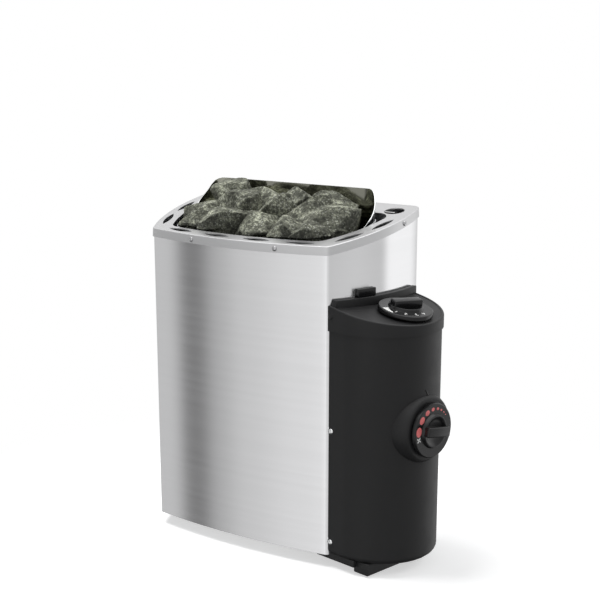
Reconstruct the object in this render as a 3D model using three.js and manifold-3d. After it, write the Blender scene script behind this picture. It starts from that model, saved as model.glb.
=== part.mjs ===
import * as THREE from 'three';
import { mergeVertices } from 'three/addons/utils/BufferGeometryUtils.js';
import Module from 'manifold-3d';

// Wall-hung electric sauna heater, millimetres, +Z up, front towards -Y.
// Heights count from the lower edge of the casing, depths from the rear edge of the collar;
// at the end everything is shifted so that the wall bracket's rear face holds the origin.

// Plan of the casing
const FRONT_Y = -188;
const FRONT_R = 890;
const SIDE_X = 175;
const SIDE_Y = -55;
const SIDE_R = 235;
const FRONT_CORNER = 16;
const BACK_CORNER = 14;

// Sheets and fits
const SHEET = 1;
const COLLAR_FIT = 0.3;
const REST_GAP = 0.3;
const STONE_GAP = 0.4;
const RUN_FIT = 0.05;

// Slanted collar
const FRONT_HEIGHT = 400;
const COLLAR_SLANT = THREE.MathUtils.degToRad(10.7);
const LIP_HEIGHT = 11;
const OPENING = { front: 18, side: 26, back: 40 };
const OPENING_FRONT_ROUND = 18;
const OPENING_BACK_ROUND = 20;
const SLOT_WIDTH = 9;
const FRONT_SLOT_LENGTH = 43;
const FRONT_SLOT_PITCH = 64;
const FRONT_SLOT_INSET = 10;
const SIDE_SLOT_LENGTH = 45;
const SIDE_SLOT_INSET = 12.5;
const SIDE_SLOT_Y = [-142, -84];
const REAR_OVAL = { x: SIDE_X - 30, y: -28, length: 27, width: 26 };

// Stone compartment
const AIR_GAP = { front: 6, side: 4.5, back: 6.5 };
const BASKET_FRONT_ROUND = 20;
const BASKET_BACK_ROUND = 32;
const BASKET_FLOOR = 95;
const BASKET_LEDGE = 8;
const BASKET_DROP = 3;
const GRATE_T = 3;
const GUARD_RISE = 33;
const GUARD_SINK = 24;
const GUARD_RIM = [[2, 0], [6, 2.5], [10, 8.5], [16, 18.5], [28, 30], [42, 41.5], [52, 48.5], [64, 56]];
const BED_DROP = 36;
const STONE_OVERHANG = 13;
const STONE_OVERHANG_Y = -116;
const STONE_SHIFT = 5;
const STONE_NEAR = 90;
const STONE_ROWS = [
  { count: 5, y: -147, lift: -5, sag: 4, pitch: 50, half: [34, 27, 25] },
  { count: 5, y: -103, lift: 9, sag: 14, pitch: 54, half: [35, 31, 27] },
  { count: 4, y: -68, lift: 8, sag: 2, pitch: 54, half: [34, 27, 27] },
];

// Heating elements
const ELEMENT_R = 4;
const ELEMENT_LEG = 30;
const ELEMENT_TOP = 330;
const ELEMENT_END = 72;
const ELEMENT_COLLAR_R = 8;
const ELEMENT_COLLAR_T = 5;
const ELEMENT_X = [-84, 0, 84];
const ELEMENT_Y = -104;

// Rear and base
const BACK_PLATE_HALF = 150;
const BACK_PLATE_TOP = 424;
const BACK_WINDOW_HALF = 130;
const WALL_Y = 12;
const BRACKET_Z = 330;
const BRACKET_W = 240;
const BRACKET_H = 50;
const BRACKET_T = 2;
const HOOK_W = 24;
const HOOK_X = 80;
const HOOK_LIP = 10;
const SPACER_R = 8;
const SPACER_X = 110;
const SPACER_Z = 40;
const BASE_Z = 6;
const INLET = { half: 32, y0: -150, y1: -40 };
const HANGER_Z = [150, 295];
const HANGER_W = 200;
const HANGER_H = 24;

// Control box: plan is a half round on straight flanks, turned to face off the casing's side
const BOX_X = SIDE_X + 3;
const BOX_Y = -105;
const BOX_TURN = THREE.MathUtils.degToRad(-10.5);
const BOX_R = 74;
const BOX_TOP = 305;
const BOX_WALL = 2.5;
const BOX_ROUND = 9;
const BOX_CLEAR = 0.4;
const LID_R = BOX_R + 2;
const LID_SKIRT_Z = BOX_TOP - 8;
const LID_MID_Z = BOX_TOP + 19.7;
const LID_SLANT = THREE.MathUtils.degToRad(10.8);
const LID_FIT = 0.3;
const LID_WALL = 2.5;
const RIDGE_TOP = BOX_TOP + 30.5;
const RIDGE_T = 7;
const CATCH_H = 10.5;
const CATCH_T = 4;
const CATCH_Y = [-139, -111];
const FOOT_BAR = { x0: 15, x1: 39.5, y0: -66, y1: 10, depth: 14 };
const FOOT_PLATE = { x0: -46, y0: -72, depth: 6 };

// Knobs and the gear behind them
const KNOB_R = 35;
const KNOB_T = 6;
const KNOB_HUB_R = 20;
const KNOB_HUB_RISE = 4;
const KNOB_GRIP_W = 13;
const KNOB_GRIP_H = 9.5;
const TIMER_KNOB_TURN = THREE.MathUtils.degToRad(-16);
const THERMO_KNOB_TURN = THREE.MathUtils.degToRad(-9);
const SHAFT_R = 3;
const SHAFT_INTO_KNOB = 10;
const TIMER_X = 35.4;
const TIMER_LIFT = 1.5;
const TIMER_SIZE = [44, 44, 34];
const BOSS_R = 39;
const BOSS_FACE = BOX_R + 5;
const BOSS_FOOT = BOX_R - 22;
const THERMO_Z = 176;
const THERMO_LIFT = 1.5;
const THERMO_SIZE = [46, 36, 34];
const BUTTON_R = 4;
const BUTTON_TRAVEL = 2.5;
const LIMITER_PLACE = [8, BOX_R - 22];
const LIMITER_R = 11;
const GLAND_PLACE = [34, BOX_R - 40];
const GLAND_R = 9;
const PIPE_Y = -40;
const PIPE_Z = 268;
const PIPE_HOLE_R = 4;
const BULB_R = 3.5;

// Screws
const SCREW_R = 1.7;
const SCREW_HOLE = 1.85;
const SCREW_HEAD_R = 3.3;
const BOX_SCREW_HEAD_R = 3.6;
const COLLAR_SCREW_X = 67;
const COLLAR_SCREW_Y = -53;
const COLLAR_SCREW_DROP = 6;
const BOX_SCREW_EDGE = 4.3;
const BOX_SCREW_Z = [19, 168];

const wasm = await Module();
wasm.setup();

const X_AXIS = new THREE.Vector3(1, 0, 0);
const Y_AXIS = new THREE.Vector3(0, 1, 0);
const Z_AXIS = new THREE.Vector3(0, 0, 1);
const BIG = 700;

function material(name, color, roughness, metalness) {
  const made = new THREE.MeshStandardMaterial({ color, roughness, metalness });
  made.name = name;
  return made;
}

const brushedSteel = material('brushed_steel', 0xc9cacb, 0.35, 1);
const polishedSteel = material('polished_steel', 0xd4d5d6, 0.15, 1);
const zincSteel = material('zinc_steel', 0x9da1a4, 0.5, 1);
const blackPlastic = material('black_plastic', 0x1b1b1c, 0.55, 0);
const glossPlastic = material('gloss_plastic', 0x0d0d0e, 0.2, 0);
const palePlastic = material('pale_plastic', 0xd9d6cc, 0.5, 0);
const redPlastic = material('red_plastic', 0xb3241f, 0.4, 0);
const elementSheath = material('element_sheath', 0x4a4744, 0.6, 1);
const stone = material('stone', 0x4c5149, 0.9, 0);

function solid(geometry) {
  const plain = geometry.clone();
  plain.deleteAttribute('normal');
  plain.deleteAttribute('uv');
  const welded = mergeVertices(plain, 1e-4);
  return new wasm.Manifold(new wasm.Mesh({
    numProp: 3,
    vertProperties: new Float32Array(welded.attributes.position.array),
    triVerts: new Uint32Array(welded.index.array),
  }));
}

function joined(first, ...others) {
  return others.reduce((body, other) => body.add(other), first);
}

function cut(first, ...tools) {
  return tools.reduce((body, tool) => body.subtract(tool), first);
}

function shared(first, ...others) {
  return others.reduce((body, other) => body.intersect(other), first);
}

const heater = new THREE.Group();
heater.name = 'sauna_heater';

function addPart(name, body, finish) {
  const mesh = body.getMesh();
  const geometry = new THREE.BufferGeometry();
  geometry.setAttribute('position', new THREE.BufferAttribute(new Float32Array(mesh.vertProperties), 3));
  geometry.setIndex(new THREE.BufferAttribute(new Uint32Array(mesh.triVerts), 1));
  geometry.translate(0, -WALL_Y, -BRACKET_Z);
  geometry.computeVertexNormals();
  const part = new THREE.Mesh(geometry, finish);
  part.name = name;
  heater.add(part);
}

// Placing

function frameAt(x, y, z, axis = Z_AXIS, angle = 0) {
  return new THREE.Matrix4().makeRotationAxis(axis, angle).setPosition(x, y, z);
}

const boxFrame = frameAt(BOX_X, BOX_Y, 0, Z_AXIS, BOX_TURN);
const lidFrame = boxFrame.clone().multiply(frameAt(0, 0, LID_MID_Z, Y_AXIS, LID_SLANT));
const timerAlong = TIMER_X / Math.cos(LID_SLANT);
const timerFrame = lidFrame.clone().multiply(frameAt(timerAlong, 0, 0));
const thermoFrame = boxFrame.clone().multiply(frameAt(0, 0, THERMO_Z, Y_AXIS, Math.PI / 2));
const bracketFrame = frameAt(0, 0, BRACKET_Z);
const worldFrame = new THREE.Matrix4();

// Simple bodies, given in a frame

function block(frame, x0, x1, y0, y1, z0, z1) {
  const geometry = new THREE.BoxGeometry(x1 - x0, y1 - y0, z1 - z0);
  geometry.translate((x0 + x1) / 2, (y0 + y1) / 2, (z0 + z1) / 2);
  geometry.applyMatrix4(frame);
  return solid(geometry);
}

function rod(frame, radius, x, y, z0, z1, sides = 24, topRadius = radius) {
  const geometry = new THREE.CylinderGeometry(topRadius, radius, z1 - z0, sides);
  geometry.rotateX(Math.PI / 2);
  geometry.translate(x, y, (z0 + z1) / 2);
  geometry.applyMatrix4(frame);
  return solid(geometry);
}

function turned(frame, profile, sides = 40) {
  const geometry = new THREE.LatheGeometry(profile.map(([r, z]) => new THREE.Vector2(r, z)), sides);
  geometry.rotateX(Math.PI / 2);
  geometry.applyMatrix4(frame);
  return solid(geometry);
}

function prism(frame, shape, z0, z1) {
  const geometry = new THREE.ExtrudeGeometry(shape, { depth: z1 - z0, bevelEnabled: false });
  geometry.translate(0, 0, z0);
  geometry.applyMatrix4(frame);
  return solid(geometry);
}

// Plan outlines

function cleanShape(path, segments) {
  const points = path.getPoints(segments);
  const kept = points.filter((point, i) => point.distanceTo(points[(i + 1) % points.length]) > 1e-4);
  return new THREE.Shape(kept);
}

function meetOfCircles(first, firstR, second, secondR) {
  const dx = second.x - first.x;
  const dy = second.y - first.y;
  const apart = Math.hypot(dx, dy);
  const along = (firstR ** 2 - secondR ** 2 + apart ** 2) / (2 * apart);
  const aside = Math.sqrt(firstR ** 2 - along ** 2);
  const onePoint = new THREE.Vector2(
    first.x + (along * dx - aside * dy) / apart, first.y + (along * dy + aside * dx) / apart);
  const otherPoint = new THREE.Vector2(
    first.x + (along * dx + aside * dy) / apart, first.y + (along * dy - aside * dx) / apart);
  return onePoint.x > otherPoint.x ? onePoint : otherPoint;
}

function panelOutline(inset, frontRound, backRound) {
  const front = { x: 0, y: FRONT_Y + FRONT_R, r: FRONT_R - inset.front };
  const side = { x: SIDE_X - SIDE_R, y: SIDE_Y, r: SIDE_R - inset.side };
  const corner = meetOfCircles(front, front.r - frontRound, side, side.r - frontRound);
  const rearY = -inset.back - backRound;
  const rearX = side.x + Math.sqrt((side.r - backRound) ** 2 - (rearY - side.y) ** 2);
  const frontEnd = Math.atan2(corner.y - front.y, corner.x);
  const sideStart = Math.atan2(corner.y - side.y, corner.x - side.x);
  const sideEnd = Math.atan2(rearY - side.y, rearX - side.x);
  const path = new THREE.Path();
  path.absarc(0, front.y, front.r, -Math.PI - frontEnd, frontEnd, false);
  path.absarc(corner.x, corner.y, frontRound, frontEnd, sideStart, false);
  path.absarc(side.x, side.y, side.r, sideStart, sideEnd, false);
  path.absarc(rearX, rearY, backRound, sideEnd, Math.PI / 2, false);
  path.absarc(-rearX, rearY, backRound, Math.PI / 2, Math.PI - sideEnd, false);
  path.absarc(-side.x, side.y, side.r, Math.PI - sideEnd, Math.PI - sideStart, false);
  path.absarc(-corner.x, corner.y, frontRound, Math.PI - sideStart, Math.PI - frontEnd, false);
  return cleanShape(path, 5);
}

function casingPlan(inset) {
  const insets = { front: inset, side: inset, back: inset };
  return panelOutline(insets, FRONT_CORNER - inset, BACK_CORNER - inset);
}

function openingPlan() {
  return panelOutline(OPENING, OPENING_FRONT_ROUND, OPENING_BACK_ROUND);
}

function basketPlan(inset) {
  const insets = {
    front: OPENING.front + AIR_GAP.front + inset,
    side: OPENING.side + AIR_GAP.side + inset,
    back: OPENING.back + AIR_GAP.back + inset,
  };
  return panelOutline(insets, BASKET_FRONT_ROUND - inset, BASKET_BACK_ROUND - inset);
}

function boxPlan(radius, rear) {
  const path = new THREE.Path();
  path.moveTo(rear, -radius);
  path.lineTo(0, -radius);
  path.absarc(0, 0, radius, -Math.PI / 2, Math.PI / 2, false);
  path.lineTo(rear, radius);
  return cleanShape(path, 10);
}

function lensShape(length, width) {
  const shape = new THREE.Shape();
  shape.moveTo(-length / 2, 0);
  shape.quadraticCurveTo(0, -width, length / 2, 0);
  shape.quadraticCurveTo(0, width, -length / 2, 0);
  return cleanShape(shape, 4);
}

function ovalShape(length, width) {
  const path = new THREE.Path();
  const run = (length - width) / 2;
  path.absarc(run, 0, width / 2, -Math.PI / 2, Math.PI / 2, false);
  path.absarc(-run, 0, width / 2, Math.PI / 2, Math.PI * 1.5, false);
  return cleanShape(path, 3);
}

function casingColumn(inset, z0, z1) {
  return prism(worldFrame, casingPlan(inset), z0, z1);
}

function basketColumn(inset, z0, z1) {
  return prism(worldFrame, basketPlan(inset), z0, z1);
}

function frontFaceY(x) {
  return FRONT_Y + FRONT_R - Math.sqrt(FRONT_R ** 2 - x ** 2);
}

function sideFace(y) {
  return SIDE_X - SIDE_R + Math.sqrt(SIDE_R ** 2 - (y - SIDE_Y) ** 2);
}

function sideNormal(y) {
  return Math.atan2(y - SIDE_Y, sideFace(y) - SIDE_X + SIDE_R);
}

function collarZ(y) {
  return FRONT_HEIGHT + Math.tan(COLLAR_SLANT) * (y - FRONT_Y);
}

function underCollar(top, bottom) {
  const frame = frameAt(0, FRONT_Y, FRONT_HEIGHT, X_AXIS, COLLAR_SLANT);
  return block(frame, -BIG, BIG, -BIG, BIG, -bottom, -top);
}

const COLUMN_TOP = 520;
const COLUMN_FOOT = FRONT_HEIGHT - 100;
const CASING_INSET = SHEET + COLLAR_FIT;
const GUARD_INSET = SHEET + REST_GAP;
const STONE_INSET = GUARD_INSET + SHEET + STONE_GAP;

// Screws of the collar: frames whose +Z leaves the sheet

function faceFrame(x, y, z, azimuth) {
  const out = new THREE.Vector3(Math.cos(azimuth), Math.sin(azimuth), 0);
  const along = new THREE.Vector3(-out.y, out.x, 0);
  return new THREE.Matrix4().makeBasis(along, Z_AXIS, out).setPosition(x, y, z);
}

const collarScrews = [];
for (const sign of [-1, 1]) {
  const hand = sign < 0 ? 'left' : 'right';
  const frontX = sign * COLLAR_SCREW_X;
  const frontY = frontFaceY(frontX);
  const frontTurn = -Math.PI / 2 + Math.asin(frontX / FRONT_R);
  const frontZ = collarZ(frontY) - COLLAR_SCREW_DROP;
  collarScrews.push({
    name: `collar_screw_front_${hand}`, frame: faceFrame(frontX, frontY, frontZ, frontTurn) });
  const sideX = sign * sideFace(COLLAR_SCREW_Y);
  const sideTurn = sign > 0 ? sideNormal(COLLAR_SCREW_Y) : Math.PI - sideNormal(COLLAR_SCREW_Y);
  const sideZ = collarZ(COLLAR_SCREW_Y) - COLLAR_SCREW_DROP;
  collarScrews.push({
    name: `collar_screw_side_${hand}`, frame: faceFrame(sideX, COLLAR_SCREW_Y, sideZ, sideTurn) });
}

function screwBody(frame, headR, length) {
  const head = turned(frame, [[0, -length], [SCREW_R, -length], [SCREW_R, 0.1], [headR, 0.1],
    [headR, 0.9], [headR * 0.75, 1.8], [0, 2.2]], 10);
  return cut(head, block(frame, -headR * 0.7, headR * 0.7, -0.4, 0.4, 1.4, 3));
}

function screwHole(frame) {
  return rod(frame, SCREW_HOLE, 0, 0, -12, 4, 10);
}

// Casing: one wrapped sheet with a return at each rear edge

const pipeHoleFrame = faceFrame(sideFace(PIPE_Y), PIPE_Y, PIPE_Z, sideNormal(PIPE_Y));
const pipeHole = rod(pipeHoleFrame, PIPE_HOLE_R, 0, 0, -16, 16, 12);
const casingSkin = cut(
  casingColumn(CASING_INSET, 0, COLUMN_TOP),
  casingColumn(CASING_INSET + SHEET, -1, COLUMN_TOP + 1),
  block(worldFrame, -BACK_WINDOW_HALF, BACK_WINDOW_HALF, -10, 5, -1, COLUMN_TOP + 1),
);
const outerCasing = cut(
  shared(casingSkin, underCollar(SHEET + COLLAR_FIT, BIG)),
  ...collarScrews.map((screw) => screwHole(screw.frame)),
  pipeHole,
);
addPart('outer_casing', outerCasing, brushedSteel);

// Slanted collar: sheet with a turned-down lip, air slots and the stone opening

const slotCuts = [];
for (const step of [-1.5, -0.5, 0.5, 1.5]) {
  const x = step * FRONT_SLOT_PITCH;
  const frame = frameAt(x, frontFaceY(x) + FRONT_SLOT_INSET, 0, Z_AXIS, Math.asin(x / FRONT_R));
  slotCuts.push(prism(frame, lensShape(FRONT_SLOT_LENGTH, SLOT_WIDTH), FRONT_HEIGHT - 20, COLUMN_TOP));
}
for (const y of SIDE_SLOT_Y) {
  for (const sign of [-1, 1]) {
    const turn = sideNormal(y);
    const x = sideFace(y) - SIDE_SLOT_INSET * Math.cos(turn);
    const slotY = y - SIDE_SLOT_INSET * Math.sin(turn);
    const frame = frameAt(sign * x, slotY, 0, Z_AXIS, sign * (turn + Math.PI / 2));
    slotCuts.push(prism(frame, lensShape(SIDE_SLOT_LENGTH, SLOT_WIDTH), FRONT_HEIGHT - 20, COLUMN_TOP));
  }
}
for (const sign of [-1, 1]) {
  const frame = frameAt(sign * REAR_OVAL.x, REAR_OVAL.y, 0);
  slotCuts.push(prism(frame, ovalShape(REAR_OVAL.length, REAR_OVAL.width), FRONT_HEIGHT - 20, COLUMN_TOP));
}
const topCollar = cut(
  shared(casingColumn(0, COLUMN_FOOT, COLUMN_TOP), underCollar(0, LIP_HEIGHT)),
  shared(casingColumn(SHEET, COLUMN_FOOT - 10, COLUMN_TOP + 1), underCollar(SHEET, LIP_HEIGHT + 5)),
  prism(worldFrame, openingPlan(), COLUMN_FOOT, COLUMN_TOP),
  ...slotCuts,
  ...collarScrews.map((screw) => screwHole(screw.frame)),
);
addPart('top_collar', topCollar, brushedSteel);

for (const screw of collarScrews) {
  addPart(screw.name, screwBody(screw.frame, SCREW_HEAD_R, 7), polishedSteel);
}

// Rear: plate inside the returns, wall bracket with two hooks, lower spacers

const plateRear = -CASING_INSET - SHEET;
const plateFront = plateRear - 1.2;
const hookZ = BRACKET_H / 2 - 6;
const hookCuts = [-HOOK_X, HOOK_X].map((x) => block(
  bracketFrame, x - HOOK_W / 2 - 2, x + HOOK_W / 2 + 2, -20, 5, hookZ - 16, hookZ));
const ventCuts = [-75, -45, -15, 15, 45, 75].map((x) => prism(
  frameAt(x, 0, 70, X_AXIS, Math.PI / 2), ovalShape(22, 8), -10, 20));
const backPlate = cut(
  block(worldFrame, -BACK_PLATE_HALF, BACK_PLATE_HALF, plateFront, plateRear, 8, BACK_PLATE_TOP),
  ...hookCuts,
  ...ventCuts,
);
addPart('back_plate', backPlate, zincSteel);

const hookReach = plateFront - 5;
const hooks = [-HOOK_X, HOOK_X].map((x) => joined(
  block(bracketFrame, x - HOOK_W / 2, x + HOOK_W / 2, hookReach, WALL_Y - 1, hookZ - BRACKET_T, hookZ),
  block(bracketFrame, x - HOOK_W / 2, x + HOOK_W / 2, hookReach - BRACKET_T, hookReach + 0.01,
    hookZ - BRACKET_T, hookZ + HOOK_LIP),
));
const bracketHoles = [-105, 0, 105].map((x) => rod(
  frameAt(x, 0, BRACKET_Z - 8, X_AXIS, Math.PI / 2), 3, 0, 0, -30, 30, 18));
const wallBracket = cut(
  joined(
    block(bracketFrame, -BRACKET_W / 2, BRACKET_W / 2, WALL_Y - BRACKET_T, WALL_Y,
      -BRACKET_H / 2, BRACKET_H / 2),
    ...hooks,
  ),
  ...bracketHoles,
);
addPart('wall_bracket', wallBracket, zincSteel);

for (const sign of [-1, 1]) {
  const frame = frameAt(sign * SPACER_X, plateRear, SPACER_Z, X_AXIS, -Math.PI / 2);
  const name = sign < 0 ? 'wall_spacer_left' : 'wall_spacer_right';
  addPart(name, rod(frame, SPACER_R, 0, 0, 0, WALL_Y - plateRear, 16), blackPlastic);
}

// Base plate with air inlets, seated on the inside of the casing

const inletCuts = ELEMENT_X.map((x) => block(
  worldFrame, x - INLET.half, x + INLET.half, INLET.y0, INLET.y1, 0, 20));
const basePlan = { front: CASING_INSET + SHEET + 0.2, side: CASING_INSET + SHEET + 0.2, back: 4 };
const basePlate = cut(
  prism(worldFrame, panelOutline(basePlan, FRONT_CORNER - 2.5, BACK_CORNER - 2.5), BASE_Z, BASE_Z + 1.2),
  ...inletCuts,
);
addPart('base_plate', basePlate, zincSteel);

// Stone basket, its grate, and the hangers that hold it off the back plate

const basketShell = cut(
  basketColumn(0, BASKET_FLOOR, COLUMN_TOP),
  basketColumn(SHEET, BASKET_FLOOR + SHEET, COLUMN_TOP + 1),
  basketColumn(SHEET + BASKET_LEDGE, BASKET_FLOOR - 1, BASKET_FLOOR + 2),
);
const basketVents = ELEMENT_X.map((x) => prism(
  frameAt(x, 0, BASKET_FLOOR + 60, X_AXIS, Math.PI / 2), ovalShape(40, 10), 100, 200));
const stoneBasket = cut(shared(basketShell, underCollar(BASKET_DROP, BIG)), ...basketVents);
addPart('stone_basket', stoneBasket, zincSteel);

const grateZ = BASKET_FLOOR + SHEET;
const legX = ELEMENT_X.flatMap((x) => [x - ELEMENT_LEG, x + ELEMENT_LEG]);
const legHoles = legX.map((x) => rod(
  worldFrame, ELEMENT_R + REST_GAP, x, ELEMENT_Y, BASKET_FLOOR - 20, BASKET_FLOOR + 20, 8));
const grateSlots = [];
for (const x of ELEMENT_X) {
  for (const y of [ELEMENT_Y - 30, ELEMENT_Y + 30]) {
    grateSlots.push(prism(frameAt(x, y, 0), ovalShape(62, 10), grateZ - 10, grateZ + 10));
  }
}
const stoneGrate = cut(
  basketColumn(SHEET + REST_GAP, grateZ, grateZ + GRATE_T), ...legHoles, ...grateSlots);
addPart('stone_grate', stoneGrate, zincSteel);

const basketRear = -OPENING.back - AIR_GAP.back;
HANGER_Z.forEach((z, i) => {
  const frame = frameAt(0, 0, z);
  const hanger = cut(
    block(frame, -HANGER_W / 2, HANGER_W / 2, basketRear, plateFront, -HANGER_H / 2, HANGER_H / 2),
    block(frame, -HANGER_W / 2 + 2, HANGER_W / 2 - 2, basketRear + 2, plateFront - 2, -HANGER_H, HANGER_H),
  );
  addPart(i === 0 ? 'basket_hanger_lower' : 'basket_hanger_upper', hanger, zincSteel);
});

// Heating elements: hairpins standing on the grate

class Bend extends THREE.Curve {
  constructor(x) {
    super();
    this.x = x;
  }

  getPoint(share) {
    const turn = Math.PI * (1 - share);
    const rise = ELEMENT_TOP - ELEMENT_LEG + ELEMENT_LEG * Math.sin(turn);
    return new THREE.Vector3(this.x + ELEMENT_LEG * Math.cos(turn), ELEMENT_Y, rise);
  }
}

function hairpin(x) {
  const ring = new THREE.Path();
  ring.absarc(0, 0, ELEMENT_R, 0, Math.PI * 2, false);
  const bend = solid(new THREE.ExtrudeGeometry(cleanShape(ring, 4), {
    steps: 10, bevelEnabled: false, extrudePath: new Bend(x) }));
  const legs = [x - ELEMENT_LEG, x + ELEMENT_LEG].map((side) => joined(
    rod(worldFrame, ELEMENT_R, side, ELEMENT_Y, ELEMENT_END, ELEMENT_TOP - ELEMENT_LEG + REST_GAP, 8),
    rod(worldFrame, ELEMENT_COLLAR_R, side, ELEMENT_Y, grateTop, grateTop + ELEMENT_COLLAR_T, 12),
  ));
  return joined(bend, ...legs);
}

const grateTop = grateZ + GRATE_T;
ELEMENT_X.forEach((x, i) => {
  addPart(`heating_element_${i + 1}`, hairpin(x), elementSheath);
});

// Stones: the packed fill on both sides of each element, then the loose top stones on it

const fillFloor = grateTop + STONE_GAP;
const elementHalf = ELEMENT_LEG + ELEMENT_COLLAR_R + STONE_GAP;
const elementRoom = ELEMENT_COLLAR_R + STONE_GAP;
const elementSpace = ELEMENT_X.map((x) => block(
  worldFrame, x - elementHalf, x + elementHalf, ELEMENT_Y - elementRoom, ELEMENT_Y + elementRoom,
  grateTop - 5, ELEMENT_TOP + ELEMENT_COLLAR_R));
const stoneFill = cut(
  shared(basketColumn(STONE_INSET, fillFloor, COLUMN_TOP), underCollar(BED_DROP, BIG)), ...elementSpace);
addPart('stone_fill', stoneFill, stone);

function noise(seed) {
  const value = Math.sin(seed * 127.1 + 311.7) * 43758.5453;
  return value - Math.floor(value);
}

function stonePlaces() {
  const places = [];
  for (const row of STONE_ROWS) {
    for (let i = 0; i < row.count; i += 1) {
      const seed = places.length + 1;
      const across = (2 * i) / (row.count - 1) - 1;
      const x = (across * row.pitch * (row.count - 1)) / 2 + STONE_SHIFT * (2 * noise(seed) - 1);
      const y = row.y + frontFaceY(x) - FRONT_Y + STONE_SHIFT * (noise(seed + 40) - 0.5);
      const lift = row.lift - row.sag * across ** 2;
      const z = collarZ(y) + lift + STONE_SHIFT * (noise(seed + 80) - 0.5);
      places.push({ seed, centre: new THREE.Vector3(x, y, z), half: row.half, turn: 3 * noise(seed + 120) });
    }
  }
  return places;
}

function roughStone({ seed, centre, half, turn }) {
  const ball = new THREE.IcosahedronGeometry(1, 1);
  ball.deleteAttribute('normal');
  ball.deleteAttribute('uv');
  const geometry = mergeVertices(ball);
  const place = geometry.attributes.position;
  for (let i = 0; i < place.count; i += 1) {
    const swell = 0.86 + 0.34 * noise(seed * 17 + i);
    place.setXYZ(i, place.getX(i) * swell, place.getY(i) * swell, place.getZ(i) * swell);
  }
  geometry.rotateX(turn * 2);
  geometry.rotateZ(turn);
  geometry.scale(...half);
  geometry.translate(centre.x, centre.y, centre.z);
  return solid(geometry);
}

function beyondMidplane(from, to) {
  const away = to.centre.clone().sub(from.centre);
  const share = from.half[0] / (from.half[0] + to.half[0]);
  const middle = from.centre.clone().addScaledVector(away, share);
  const turn = new THREE.Quaternion().setFromUnitVectors(Z_AXIS, away.normalize());
  const frame = new THREE.Matrix4().makeRotationFromQuaternion(turn).setPosition(middle);
  return block(frame, -BIG, BIG, -BIG, BIG, -STONE_GAP / 2, BIG);
}

const frontHalf = block(worldFrame, -BIG, BIG, -BIG, STONE_OVERHANG_Y, 0, COLUMN_TOP);
const overCollar = cut(
  shared(casingColumn(STONE_OVERHANG, COLUMN_FOOT, COLUMN_TOP), frontHalf),
  underCollar(-STONE_GAP, BIG),
);
const overFill = cut(
  basketColumn(STONE_INSET, COLUMN_FOOT, COLUMN_TOP),
  underCollar(BED_DROP - STONE_GAP, BIG),
);
const stoneSpace = joined(overFill, overCollar);
const topStones = stonePlaces();
topStones.forEach((entry, i) => {
  const near = topStones.filter((other) => other.centre.distanceTo(entry.centre) < STONE_NEAR);
  const others = near.filter((other) => other !== entry);
  const trims = others.map((other) => beyondMidplane(entry, other));
  const body = cut(shared(roughStone(entry), stoneSpace), ...trims);
  addPart(`top_stone_${String(i + 1).padStart(2, '0')}`, body, stone);
});

// Stone guard: polished rear wall of the opening with a slanted rim

const guardBack = -OPENING.back - AIR_GAP.back - GUARD_INSET;
const guardTop = collarZ(guardBack) + GUARD_RISE;
const guardReach = GUARD_RIM[GUARD_RIM.length - 1][0];
const guardSide = new THREE.Shape([
  [guardBack - guardReach, collarZ(guardBack - guardReach) - GUARD_SINK],
  ...GUARD_RIM.map(([reach, drop]) => [guardBack - reach, guardTop - drop]).reverse(),
  [0, guardTop],
  [0, collarZ(0) - GUARD_SINK],
].reverse().map(([y, z]) => new THREE.Vector2(y, z)));
const sideViewFrame = new THREE.Matrix4().makeBasis(Y_AXIS, Z_AXIS, X_AXIS);
const stoneGuard = shared(
  cut(
    basketColumn(GUARD_INSET, COLUMN_FOOT, COLUMN_TOP),
    basketColumn(GUARD_INSET + SHEET, COLUMN_FOOT - 10, COLUMN_TOP + 1),
  ),
  prism(sideViewFrame, guardSide, -BIG, BIG),
);
addPart('stone_guard', stoneGuard, polishedSteel);

// Control box housing: moulded shell that lies against the casing's side

const boxRear = -90;
const boxOuterPlan = boxPlan(BOX_R - BOX_ROUND, boxRear);
const boxOuterGeometry = new THREE.ExtrudeGeometry(boxOuterPlan, {
  depth: BOX_TOP, bevelEnabled: true, bevelSize: BOX_ROUND, bevelThickness: BOX_ROUND, bevelSegments: 3 });
boxOuterGeometry.translate(0, 0, BOX_ROUND);
boxOuterGeometry.applyMatrix4(boxFrame);
const boxKeepOut = casingColumn(CASING_INSET - BOX_CLEAR, -50, COLUMN_TOP);
const boxKeepOutInner = casingColumn(CASING_INSET - BOX_CLEAR - BOX_WALL, -50, COLUMN_TOP);
const flankStart = new THREE.Vector3(0, -BOX_R, 0).applyMatrix4(boxFrame);
const flankRay = new THREE.Vector2(-Math.cos(BOX_TURN), -Math.sin(BOX_TURN));
const flankFrom = new THREE.Vector2(flankStart.x - SIDE_X + SIDE_R, flankStart.y - SIDE_Y);
const flankLean = flankRay.dot(flankFrom);
const flankRun = -flankLean - Math.sqrt(flankLean ** 2 - flankFrom.lengthSq() + SIDE_R ** 2);
const boxScrewX = BOX_SCREW_EDGE - flankRun;
const boxScrewFrames = BOX_SCREW_Z.map((z) => {
  const frame = new THREE.Matrix4().makeBasis(X_AXIS, Z_AXIS, new THREE.Vector3(0, -1, 0));
  return boxFrame.clone().multiply(frame.setPosition(boxScrewX, -BOX_R, z));
});
const boxShell = cut(
  joined(
    shared(solid(boxOuterGeometry), block(boxFrame, -BIG, BIG, -BIG, BIG, -1, BOX_TOP)),
    rod(thermoFrame, BOSS_R + 5, 0, 0, BOSS_FOOT, BOSS_FACE, 44, BOSS_R),
  ),
  boxKeepOut,
  cut(prism(boxFrame, boxPlan(BOX_R - BOX_WALL, boxRear), BOX_WALL, BOX_TOP + 1), boxKeepOutInner),
);
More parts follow.
